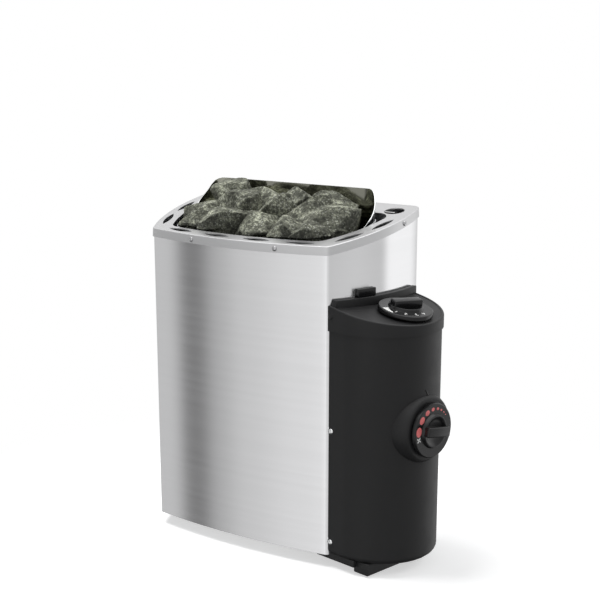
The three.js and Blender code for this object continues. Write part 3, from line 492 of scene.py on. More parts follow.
class Forge:
    """A mesh in work, shaped step by step with mesh operators."""

    def __init__(self) -> None:
        """Starts an empty mesh."""
        self.bm = bmesh.new()

    def point(self, x: float, y: float, z: float = 0.0) -> BMVert:
        """Sets one vertex."""
        return self.bm.verts.new((x, y, z))

    def line(self, start: BMVert, x: float, y: float, z: float = 0.0) -> BMVert:
        """Draws a vertex out to a place.

        Args:
            start: Vertex to draw from.
            x: Place along X.
            y: Place along Y.
            z: Place along Z.

        Returns:
            The new vertex.
        """
        end = bmesh.ops.extrude_vert_indiv(self.bm, verts=[start])["verts"][0]
        bmesh.ops.translate(self.bm, verts=[end], vec=Vector((x, y, z)) - end.co)
        return end

    def arc(self, start: BMVert, centre: tuple[float, float], turn: float, steps: int) -> BMVert:
        """Draws a vertex round a centre in the plan.

        Args:
            start: Vertex to draw from.
            centre: Centre in X and Y.
            turn: Angle, anticlockwise.
            steps: Number of edges.

        Returns:
            The last vertex.
        """
        swing = Matrix.Rotation(turn / steps, 3, "Z")
        for _ in range(steps):
            start = bmesh.ops.extrude_vert_indiv(self.bm, verts=[start])["verts"][0]
            bmesh.ops.rotate(self.bm, verts=[start], cent=(*centre, start.co.z), matrix=swing)
        return start

    def close(self, first: BMVert, last: BMVert) -> None:
        """Joins two ends of an outline."""
        self.bm.edges.new((first, last))

    def mirror(self) -> None:
        """Mirrors everything in X and merges the seam."""
        geometry = [*self.bm.verts, *self.bm.edges, *self.bm.faces]
        bmesh.ops.mirror(self.bm, geom=geometry, matrix=Matrix.Identity(4), merge_dist=MERGE, axis="X")

    def face(self, edges: Iterable[BMEdge] | None = None) -> BMFace:
        """Closes one outline with a face.

        Args:
            edges: The outline, or every edge.

        Returns:
            The face.
        """
        made = bmesh.ops.contextual_create(self.bm, geom=list(edges or self.bm.edges))
        return made["faces"][0]

    def draw_edges(self, edges: Iterable[BMEdge], move: tuple[float, float, float]) -> list[BMVert]:
        """Draws edges out into a wall.

        Args:
            edges: Edges of one side.
            move: Way of the new side.

        Returns:
            The vertices of the new side.
        """
        made = bmesh.ops.extrude_edge_only(self.bm, edges=list(edges))["geom"]
        verts = [item for item in made if isinstance(item, BMVert)]
        bmesh.ops.translate(self.bm, verts=verts, vec=move)
        return verts

    def draw_faces(self, faces: Iterable[BMFace], move: tuple[float, float, float]) -> list[BMFace]:
        """Draws faces out into a closed block.

        Args:
            faces: Faces of one side.
            move: Way of the new side.

        Returns:
            The faces of the new side.
        """
        kept = bmesh.ops.extrude_face_region(self.bm, geom=list(faces), use_keep_orig=True)["geom"]
        verts = [item for item in kept if isinstance(item, BMVert)]
        bmesh.ops.translate(self.bm, verts=verts, vec=move)
        return [item for item in kept if isinstance(item, BMFace)]

    def round(self, edges: Iterable[BMEdge], size: float, steps: int = 3) -> None:
        """Rounds edges.

        Args:
            edges: Edges to round.
            size: Width of the round.
            steps: Its segments.
        """
        bmesh.ops.bevel(self.bm, geom=list(edges), offset=size, segments=steps, profile=0.5,
                        affect="EDGES", material=-1, clamp_overlap=True)

    def sharp(self, angle: float = 30.0) -> list[BMEdge]:
        """Gives the edges that turn by more than an angle in degrees."""
        limit = math.radians(angle)
        return [edge for edge in self.bm.edges if len(edge.link_faces) == 2 and edge.calc_face_angle() > limit]

    def spin(self, profile: list[tuple[float, float]], steps: int = 64) -> None:
        """Turns a profile of radius and height about Z.

        Args:
            profile: Points from the axis or rim to the other end.
            steps: Steps of the full turn.
        """
        verts = [self.point(profile[0][0], 0.0, profile[0][1])]
        for radius, height in profile[1:]:
            verts.append(self.line(verts[-1], radius, 0.0, height))
        edges = [edge for edge in self.bm.edges if all(vert in verts for vert in edge.verts)]
        bmesh.ops.spin(self.bm, geom=[*verts, *edges], cent=(0, 0, 0), axis=(0, 0, 1), dvec=(0, 0, 0),
                       angle=math.tau, steps=steps, use_merge=True)
        bmesh.ops.remove_doubles(self.bm, verts=self.bm.verts[:], dist=MERGE)

    def block(self, low: tuple[float, float, float], high: tuple[float, float, float], size: float, steps: int = 3) -> None:
        """Adds a block with rounded edges.

        Args:
            low: Lowest corner.
            high: Highest corner.
            size: Width of its rounds.
            steps: Segments of its rounds.
        """
        start, end = Vector(low), Vector(high)
        verts = bmesh.ops.create_cube(self.bm, size=1.0)["verts"]
        bmesh.ops.scale(self.bm, verts=verts, vec=end - start)
        bmesh.ops.translate(self.bm, verts=verts, vec=(start + end) / 2)
        edges = {edge for vert in verts for edge in vert.link_edges}
        self.round(edges, size, steps)

    def place(self, matrix: Matrix, verts: Iterable[BMVert] | None = None) -> None:
        """Moves vertices, or everything, by a matrix."""
        bmesh.ops.transform(self.bm, matrix=matrix, verts=list(verts or self.bm.verts))

    def outward(self) -> None:
        """Merges doubles and turns every face outwards."""
        bmesh.ops.remove_doubles(self.bm, verts=self.bm.verts[:], dist=MERGE)
        bmesh.ops.recalc_face_normals(self.bm, faces=self.bm.faces[:])

    def piece(self, name: str, crease: float = 35.0) -> bpy.types.Object:
        """Ends the work.

        Args:
            name: Name of the piece.
            crease: Angle in degrees above which an edge stays sharp.

        Returns:
            The piece's object, at the origin.
        """
        mesh = bpy.data.meshes.new(name)
        self.bm.to_mesh(mesh)
        self.bm.free()
        mesh.shade_smooth()
        mesh.set_sharp_from_angle(angle=math.radians(crease))
        made = bpy.data.objects.new(name, mesh)
        bpy.context.scene.collection.objects.link(made)
        return made


class Dress:
    """Ways to finish a piece's object and put it on the part."""

    @staticmethod
    def wall(piece: bpy.types.Object, thickness: float, offset: float = -1.0) -> None:
        """Gives an open shell its thickness.

        Args:
            piece: The shell.
            thickness: Wall in metres.
            offset: -1 inwards, 1 outwards.
        """
        modifier = piece.modifiers.new("wall", "SOLIDIFY")
        modifier.thickness = thickness
        modifier.offset = offset
        modifier.use_even_offset = True

    @staticmethod
    def soften(piece: bpy.types.Object, width: float, steps: int = 2) -> None:
        """Rounds the remaining sharp edges a little.

        Args:
            piece: The piece.
            width: Width of the rounds.
            steps: Their segments.
        """
        modifier = piece.modifiers.new("soft_edges", "BEVEL")
        modifier.width = width
        modifier.segments = steps
        modifier.limit_method = "ANGLE"
        modifier.angle_limit = math.radians(40)
        modifier.harden_normals = True

    @staticmethod
    def seat(piece: bpy.types.Object, slot: Slot, nodes: Iterable[str] = (), body: str = ROOT,
             finish: Finish | None = None) -> bpy.types.Object:
        """Gives a piece its finish, body and the nodes it stands for.

        Args:
            piece: The piece.
            slot: Record slot of its finish.
            nodes: CAD nodes it replaces.
            body: CAD body it rides on.
            finish: Finish other than the slot's own.

        Returns:
            The piece.
        """
        piece.data.materials.append(Paints.get(finish or FINISHES[slot]))
        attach(piece, body)
        if nodes:
            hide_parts(*nodes)
        LOG.info("%s on %s, finish %s", piece.name, body, (finish or FINISHES[slot]).name)
        return piece


@dataclass(frozen=True)
class Inset:
    """Distances in from the casing's plan, and the corner rounds there."""

    front: float
    side: float
    back: float
    front_round: float
    back_round: float


@dataclass(frozen=True)
class Plan:
    """The casing's plan: a shallow front arc, two side arcs and a straight rear."""

    front_y: float = -0.200
    front_r: float = 0.890
    side_x: float = 0.175
    side_y: float = -0.067
    side_r: float = 0.235
    rear_y: float = -0.012
    front_round: float = 0.008
    back_round: float = 0.014
    collar_z: float = 0.070
    slant: float = math.radians(10.7)

    def even(self, inset: float) -> Inset:
        """Gives the same inset all round, with the corners that follow."""
        return Inset(inset, inset, inset, self.front_round - inset, self.back_round - inset)

    def side_centre(self) -> tuple[float, float]:
        """Gives the right side arc's centre."""
        return (self.side_x - self.side_r, self.side_y)

    def top(self, y: float) -> float:
        """Gives the height of the collar's top at a depth."""
        return self.collar_z + math.tan(self.slant) * (y - self.front_y)

    def shear(self) -> Matrix:
        """Gives the shear that tips a level collar to its slant."""
        tip = Matrix.Identity(4)
        tip[2][1] = math.tan(self.slant)
        tip[2][3] = self.collar_z - math.tan(self.slant) * self.front_y
        return tip

    def front_point(self, x: float, inset: float = 0.0) -> tuple[Vector, float]:
        """Gives a point of the front arc and the heading of its face.

        Args:
            x: Place along X.
            inset: Distance in from the face.

        Returns:
            The point at height 0 and the outward heading.
        """
        turn = math.asin(x / self.front_r)
        y = self.front_y + self.front_r * (1 - math.cos(turn)) + inset
        return Vector((x, y, 0.0)), turn - math.pi / 2

    def side_point(self, y: float, inset: float = 0.0) -> tuple[Vector, float]:
        """Gives a point of the right side arc and the heading of its face.

        Args:
            y: Depth of the face point.
            inset: Distance in from the face.

        Returns:
            The point at height 0 and the outward heading.
        """
        turn = math.asin((y - self.side_y) / self.side_r)
        reach = self.side_r - inset
        x, base = self.side_centre()
        return Vector((x + reach * math.cos(turn), base + reach * math.sin(turn), 0.0)), turn

    def half(self, forge: Forge, inset: Inset, rear_x: float = 0.0, start_y: float | None = None) -> None:
        """Draws the right half of the plan and mirrors it.

        Args:
            forge: Mesh to draw in.
            inset: Distances in from the plan.
            rear_x: Where the rear edge ends.
            start_y: Depth on the side arc to start at, or none to start at the front's middle.
        """
        front = Vector((0.0, self.front_y + self.front_r))
        front_r = self.front_r - inset.front
        side = Vector(self.side_centre())
        side_r = self.side_r - inset.side
        corner = self.meet(front, front_r - inset.front_round, side, side_r - inset.front_round)
        rear = self.rear_y - inset.back - inset.back_round
        back = Vector((side.x + math.sqrt((side_r - inset.back_round) ** 2 - (rear - side.y) ** 2), rear))
        front_end = math.atan2(corner.y - front.y, corner.x)
        side_start = math.atan2(corner.y - side.y, corner.x - side.x)
        side_end = math.atan2(back.y - side.y, back.x - side.x)
        if start_y is None:
            vert = forge.point(0.0, front.y - front_r)
            vert = forge.arc(vert, front, front_end + math.pi / 2, 24)
            vert = forge.arc(vert, corner, side_start - front_end, 8)
        else:
            side_start = math.asin((start_y - side.y) / side_r)
            vert = forge.point(side.x + side_r * math.cos(side_start), start_y)
        vert = forge.arc(vert, side, side_end - side_start, 24)
        vert = forge.arc(vert, back, math.pi / 2 - side_end, 10)
        forge.line(vert, rear_x, vert.co.y)
        forge.mirror()

    @staticmethod
    def meet(first: Vector, first_r: float, second: Vector, second_r: float) -> Vector:
        """Gives the right-hand meeting point of two circles.

        Args:
            first: Centre of the first.
            first_r: Its radius.
            second: Centre of the second.
            second_r: Its radius.

        Returns:
            The meeting point with the larger X.
        """
        apart = second - first
        along = (first_r ** 2 - second_r ** 2 + apart.length_squared) / (2 * apart.length)
        aside = math.sqrt(first_r ** 2 - along ** 2)
        way = apart.normalized()
        across = Vector((-way.y, way.x))
        return max((first + way * along + across * sign * aside for sign in (-1, 1)), key=lambda point: point.x)


PLAN = Plan()


def turned_to(point: Vector, heading: float) -> Matrix:
    """Gives a frame whose Z leaves a wall.

    Args:
        point: Place on the wall.
        heading: The wall's outward heading in the plan.

    Returns:
        The frame, with Y up.
    """
    out = Vector((math.cos(heading), math.sin(heading), 0.0))
    along = Vector((-out.y, out.x, 0.0))
    turn = Matrix((along, (0.0, 0.0, 1.0), out)).transposed().to_4x4()
    return Matrix.Translation(point) @ turn


@dataclass
class Screw:
    """A domed screw head with a small socket."""

    radius: float = 0.0033
    rise: float = 0.0021
    lift: float = 0.0001
    recess: float = 0.0005
    finish: Finish = FINISHES[Slot.POLISHED]

    def build(self, name: str, seat: Matrix) -> None:
        """Makes one screw that stands for the CAD node of the same meaning.

        Args:
            name: CAD node's name.
            seat: Frame on the sheet, Z outwards.
        """
        forge = Forge()
        steps = 6
        bowl = [math.pi / 2 * step / steps for step in range(steps)]
        dome = [(self.radius * math.cos(turn), self.lift + self.rise * (0.35 + 0.65 * math.sin(turn)))
                for turn in bowl]
        brim = dome[-1]
        forge.spin([(0.0, self.lift), (self.radius, self.lift), *dome, (brim[0] - 0.0003, brim[1] - self.recess),
                    (0.0, brim[1] - self.recess)], 32)
        forge.outward()
        forge.place(seat)
        Dress.seat(forge.piece(f"{name}_head"), Slot.POLISHED, [name], finish=self.finish)


@dataclass
class Casing:
    """The wrapped steel sheet and its slanted, slotted collar."""

    base_z: float = -0.330
    sheet: float = 0.001
    fit: float = 0.0013
    return_x: float = 0.130
    lip: float = 0.0112
    bend: float = 0.0011
    flare: float = 0.0005
    rim: float = 0.004
    opening: Inset = Inset(0.018, 0.026, 0.040, 0.018, 0.020)
    slot_width: float = 0.009
    slot_fold: float = 0.0014
    front_slots: tuple[float, ...] = (-0.096, -0.032, 0.032, 0.096)
    front_slot: tuple[float, float] = (0.043, 0.010)
    side_slots: tuple[float, ...] = (-0.154, -0.096)
    side_slot: tuple[float, float] = (0.045, 0.0125)
    oval: tuple[float, float, float, float] = (0.145, -0.040, 0.027, 0.026)
    screw_x: float = 0.067
    screw_y: float = -0.065
    screw_drop: float = 0.006
    screw: Screw = field(default_factory=lambda: Screw(finish=SCREW_ZINC))

    def build(self) -> None:
        """Makes the sheet, the collar and the collar's screws."""
        self.skin()
        self.collar()
        self.screws()

    def skin(self) -> None:
        """Makes the wrapped sheet."""
        forge = Forge()
        PLAN.half(forge, PLAN.even(self.fit), rear_x=self.return_x)
        forge.place(Matrix.Translation((0.0, 0.0, self.base_z)))
        top = forge.draw_edges(forge.bm.edges, (0.0, 0.0, -self.base_z))
        forge.place(Matrix.Translation((0.0, 0.0, -self.fit)) @ PLAN.shear(), top)
        self.face_out(forge)
        made = forge.piece("casing_sheet")
        Dress.wall(made, self.sheet)
        Dress.soften(made, 0.0003)
        Dress.seat(made, Slot.BRUSHED, ["outer_casing"])

    def face_out(self, forge: Forge) -> None:
        """Turns an open shell's faces away from the heater's middle.

        Args:
            forge: The shell.
        """
        middle = Vector((0.0, -0.1, -0.4))
        forge.outward()
        face = min(forge.bm.faces, key=lambda item: item.calc_center_median().y)
        if face.normal.dot(face.calc_center_median() - middle) < 0:
            bmesh.ops.reverse_faces(forge.bm, faces=forge.bm.faces[:])

    def lens(self, forge: Forge, length: float, seat: Matrix) -> list[BMEdge]:
        """Draws a lens-shaped air slot.

        Args:
            forge: Mesh to draw in.
            length: Its length.
            seat: Its place in the plan.

        Returns:
            Its outline.
        """
        before = set(forge.bm.edges)
        sag = self.slot_width / 2
        radius = (length ** 2 / 4 + sag ** 2) / (2 * sag)
        turn = 2 * math.asin(length / 2 / radius)
        start = forge.point(-length / 2, 0.0)
        end = forge.arc(start, (0.0, radius - sag), turn, 14)
        last = forge.arc(end, (0.0, sag - radius), turn * 13 / 14, 13)
        forge.close(start, last)
        return self.settled(forge, before, seat)

    def settled(self, forge: Forge, before: set[BMEdge], seat: Matrix) -> list[BMEdge]:
        """Moves newly drawn edges into place.

        Args:
            forge: Mesh they are in.
            before: Edges that were there already.
            seat: Their place in the plan.

        Returns:
            The new edges.
        """
        edges = [edge for edge in forge.bm.edges if edge not in before]
        forge.place(seat, {vert for edge in edges for vert in edge.verts})
        return edges

    def stadium(self, forge: Forge, length: float, width: float, seat: Matrix) -> list[BMEdge]:
        """Draws a round-ended hole.

        Args:
            forge: Mesh to draw in.
            length: Its length.
            width: Its width.
            seat: Its place in the plan.

        Returns:
            Its outline.
        """
        before = set(forge.bm.edges)
        run = (length - width) / 2
        start = forge.point(run, -width / 2)
        vert = forge.arc(start, (run, 0.0), math.pi, 10)
        vert = forge.line(vert, -run, width / 2)
        vert = forge.arc(vert, (-run, 0.0), math.pi, 10)
        forge.close(vert, start)
        return self.settled(forge, before, seat)

    def ring(self, forge: Forge, inset: Inset) -> list[BMEdge]:
        """Draws one closed ring of the plan.

        Args:
            forge: Mesh to draw in.
            inset: Its distance in.

        Returns:
            Its outline.
        """
        part = Forge()
        PLAN.half(part, inset)
        bmesh.ops.remove_doubles(part.bm, verts=part.bm.verts[:], dist=MERGE)
        mesh = bpy.data.meshes.new("ring")
        part.bm.to_mesh(mesh)
        part.bm.free()
        before = set(forge.bm.edges)
        forge.bm.from_mesh(mesh)
        bpy.data.meshes.remove(mesh)
        return [edge for edge in forge.bm.edges if edge not in before]

    def collar(self) -> None:
        """Makes the collar with its lip, air slots and stone opening."""
        forge = Forge()
        edge_ring = self.ring(forge, PLAN.even(0.0))
        inner_ring = self.ring(forge, PLAN.even(self.rim))
        opening = self.ring(forge, self.opening)
        holes: list[BMEdge] = []
        for x in self.front_slots:
            point, heading = PLAN.front_point(x, self.front_slot[1])
            seat = Matrix.Translation(point) @ Matrix.Rotation(heading + math.pi / 2, 4, "Z")
            holes += self.lens(forge, self.front_slot[0], seat)
        for y in self.side_slots:
            point, heading = PLAN.side_point(y, self.side_slot[1])
            for sign in (-1, 1):
                place = Vector((sign * point.x, point.y, 0.0))
                seat = Matrix.Translation(place) @ Matrix.Rotation(sign * (heading + math.pi / 2), 4, "Z")
                holes += self.lens(forge, self.side_slot[0], seat)
        x, y, length, width = self.oval
        for sign in (-1, 1):
            holes += self.stadium(forge, length, width, Matrix.Translation((sign * x, y, 0.0)))
        bmesh.ops.triangle_fill(forge.bm, use_beauty=True, use_dissolve=False,
                                edges=[*inner_ring, *opening, *holes], normal=(0, 0, 1))
        forge.draw_edges(holes, (0.0, 0.0, -self.slot_fold))
        bmesh.ops.bridge_loops(forge.bm, edges=[*edge_ring, *inner_ring])
        hem = forge.draw_edges(edge_ring, (0.0, 0.0, -self.lip))
        middle = Vector((0.0, -0.1, 0.0))
        for vert in hem:
            vert.co += ((vert.co - middle) * Vector((1.0, 1.0, 0.0))).normalized() * self.flare
        forge.round(edge_ring, self.bend, 4)
        forge.place(PLAN.shear())
        forge.outward()
        if min(forge.bm.faces, key=lambda item: item.calc_center_median().y).normal.y > 0:
            bmesh.ops.reverse_faces(forge.bm, faces=forge.bm.faces[:])
        made = forge.piece("slotted_collar")
        Dress.wall(made, self.sheet)
        Dress.soften(made, 0.00022)
        Dress.seat(made, Slot.BRUSHED, ["top_collar"], finish=COLLAR_SATIN)

    def screws(self) -> None:
        """Makes the collar's four screws."""
        for sign, hand in ((-1, "left"), (1, "right")):
            point, heading = PLAN.front_point(sign * self.screw_x)
            point.z = PLAN.top(point.y) - self.screw_drop
            self.screw.build(f"collar_screw_front_{hand}", turned_to(point, heading))
            point, heading = PLAN.side_point(self.screw_y)
            point = Vector((sign * point.x, point.y, PLAN.top(point.y) - self.screw_drop))
            self.screw.build(f"collar_screw_side_{hand}", turned_to(point, heading if sign > 0 else math.pi - heading))


@dataclass
class StoneBed:
    """The loose top stones and the polished guard that stands behind them."""

    count: int = 14
    voxel: float = 0.0015
    wear: int = 1
    growth: tuple[float, float, float] = (1.36, 1.3, 1.1)
    swell: tuple[float, float] = (0.95, 1.25)
    gap: float = 0.0016
    opening: Inset = Inset(0.018, 0.026, 0.040, 0.018, 0.020)
    overhang: float = 0.005
    sheet_clear: float = 0.003
    breaks: int = 6
    break_depth: tuple[float, float] = (0.5, 0.78)
    flake: float = 0.0009
    rough: float = 0.0009
    guard_inset: Inset = Inset(0.0253, 0.0318, 0.0478, 0.0187, 0.0307)
    guard_start: float = -0.1236
    guard_rise: float = 0.033
    guard_sink: float = 0.024
    guard_rim: tuple[tuple[float, float], ...] = (
        (0.0, 0.0), (0.002, 0.0), (0.006, 0.0025), (0.010, 0.0085), (0.016, 0.0185),
        (0.028, 0.030), (0.042, 0.0415), (0.052, 0.0485), (0.064, 0.056))

    def build(self) -> None:
        """Makes the stones and the guard."""
        for number in range(1, self.count + 1):
            self.stone(number)
        self.guard()

    def stone(self, number: int) -> None:
        """Makes one rough stone from the CAD stone's own facets.

        Args:
            number: The stone's number.
        """
        node = f"top_stone_{number:02d}"
        forge = Forge()
        forge.bm.from_mesh(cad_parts[node].data)
        bmesh.ops.remove_doubles(forge.bm, verts=forge.bm.verts[:], dist=1e-5)
        self.break_faces(forge, Random(number))
        blank = forge.piece("blank")
        remesh = blank.modifiers.new("grain", "REMESH")
        remesh.mode = "VOXEL"
        remesh.voxel_size = self.voxel
        fine = bpy.data.meshes.new_from_object(blank.evaluated_get(bpy.context.evaluated_depsgraph_get()))
        bpy.data.objects.remove(blank)
        forge = Forge()
        forge.bm.from_mesh(fine)
        bpy.data.meshes.remove(fine)
        for _ in range(self.wear):
            bmesh.ops.smooth_vert(forge.bm, verts=forge.bm.verts[:], factor=0.5,
                                  use_axis_x=True, use_axis_y=True, use_axis_z=True)
        bmesh.ops.translate(forge.bm, verts=forge.bm.verts[:], vec=self.settle(forge))
        forge.bm.normal_update()
        seed = Vector((number * 3.7, number * 1.9, number * 5.3))
        for vert in forge.bm.verts:
            scar = 1.0 - min(1.0, noise.voronoi(vert.co * 34 + seed)[0][0] * 1.25)
            chips = noise.turbulence(vert.co * 95 + seed, 4, True)
            pits = noise.noise(vert.co * 380 + seed)
            vert.co -= vert.normal * (self.flake * scar + self.rough * (chips + 0.3 * pits))
            vert.co = self.inside_guard(vert.co)
        Dress.seat(forge.piece(f"stone_{number:02d}", 70.0), Slot.STONE, [node])

    def settle(self, forge: Forge) -> Vector:
        """Finds the way that brings a stone back into the collar's opening.

        Args:
            forge: The stone's mesh.

        Returns:
            The level way.
        """
        hand = math.copysign(1.0, sum(vert.co.x for vert in forge.bm.verts))
        side_x, side_y = PLAN.side_centre()
        ahead = aside = 0.0
        for x, y, z in (vert.co for vert in forge.bm.verts):
            slack = self.overhang if z > PLAN.top(y) + self.sheet_clear else -self.gap
            front_r = PLAN.front_r - self.opening.front + slack
            side_r = PLAN.side_r - self.opening.side + slack
            ahead = max(ahead, PLAN.front_y + PLAN.front_r - math.sqrt(front_r ** 2 - x ** 2) - y)
            aside = max(aside, hand * x - side_x - math.sqrt(side_r ** 2 - (y - side_y) ** 2))
        return Vector((-hand * aside, ahead, 0.0))

    def inside_guard(self, point: Vector) -> Vector:
        """Keeps a point of a stone on the inner side of the guard.

        Args:
            point: The point.

        Returns:
            The point, or the nearest one that clears the guard.
        """
        if point.y < self.guard_start:
            return point
        sign = math.copysign(1.0, point.x)
        spot = Vector((abs(point.x), point.y))
        side = Vector(PLAN.side_centre())
        reach = PLAN.side_r - self.guard_inset.side - self.gap
        away = spot - side
        if away.length > reach:
            spot = side + away.normalized() * reach
        rear = PLAN.rear_y - self.guard_inset.back - self.gap
        bend = self.guard_inset.back_round - self.gap
        base = rear - bend
        heart = Vector((side.x + math.sqrt((reach - bend) ** 2 - (base - side.y) ** 2), base))
        away = spot - heart
        if spot.x > heart.x and spot.y > heart.y and away.length > bend:
            spot = heart + away.normalized() * bend
        return Vector((sign * spot.x, min(spot.y, rear), point.z))

    def break_faces(self, forge: Forge, chance: Random) -> None:
        """Breaks large flat faces off a stone.

        Args:
            forge: The stone's mesh.
            chance: Seeded source of the breaks.
        """
        centre = sum((vert.co for vert in forge.bm.verts), Vector()) / len(forge.bm.verts)
        swell = chance.uniform(*self.swell)
        bmesh.ops.scale(forge.bm, verts=forge.bm.verts[:], space=Matrix.Translation(-centre),
                        vec=(self.growth[0] * swell, self.growth[1] * swell, self.growth[2]))
        for _ in range(self.breaks):
            way = Vector([chance.uniform(-1.0, 1.0), chance.uniform(-1.0, 1.0), chance.uniform(-0.4, 1.0)]).normalized()
            reach = max((vert.co - centre).dot(way) for vert in forge.bm.verts)
            place = centre + way * reach * chance.uniform(*self.break_depth)
            geometry = [*forge.bm.verts, *forge.bm.edges, *forge.bm.faces]
            cut = bmesh.ops.bisect_plane(forge.bm, geom=geometry, plane_co=place, plane_no=way,
                                         dist=1e-6, clear_outer=True)["geom_cut"]
            bmesh.ops.holes_fill(forge.bm, edges=[item for item in cut if isinstance(item, BMEdge)], sides=0)
        bmesh.ops.remove_doubles(forge.bm, verts=forge.bm.verts[:], dist=1e-5)

    def rim_drop(self, reach: float) -> float:
        """Gives the fall of the guard's rim below its top.

        Args:
            reach: Distance forward of the guard's rear face.

        Returns:
            The fall in metres.
        """
        for (near, high), (far, low) in zip(self.guard_rim, self.guard_rim[1:]):
            if reach <= far:
                return high + (low - high) * (reach - near) / (far - near)
        return self.guard_rim[-1][1]

    def guard(self) -> None:
        """Makes the bent guard."""
        forge = Forge()
        PLAN.half(forge, self.guard_inset, start_y=self.guard_start)
        rear = PLAN.rear_y - self.guard_inset.back
        rims = forge.draw_edges(forge.bm.edges, (0.0, 0.0, 0.001))
        crest = PLAN.top(rear) + self.guard_rise
        for vert in forge.bm.verts:
            foot = PLAN.top(vert.co.y) - self.guard_sink
            vert.co.z = max(crest - self.rim_drop(rear - vert.co.y), foot + 0.001) if vert in rims else foot
        forge.outward()
        back = max(forge.bm.faces, key=lambda item: item.calc_center_median().y)
        if back.normal.y < 0:
            bmesh.ops.reverse_faces(forge.bm, faces=forge.bm.faces[:])
        made = forge.piece("polished_guard")
        Dress.wall(made, 0.001)
        # The inner shell gets the second material, whose dark stone-like tint is a painted reflection of the shaded
        # stones.
        made.modifiers["wall"].material_offset = 1
        Dress.soften(made, 0.0003)
        Dress.seat(made, Slot.POLISHED, ["stone_guard"])
        made.data.materials.append(Paints.get(GUARD_PAINTED_REFLECTION))


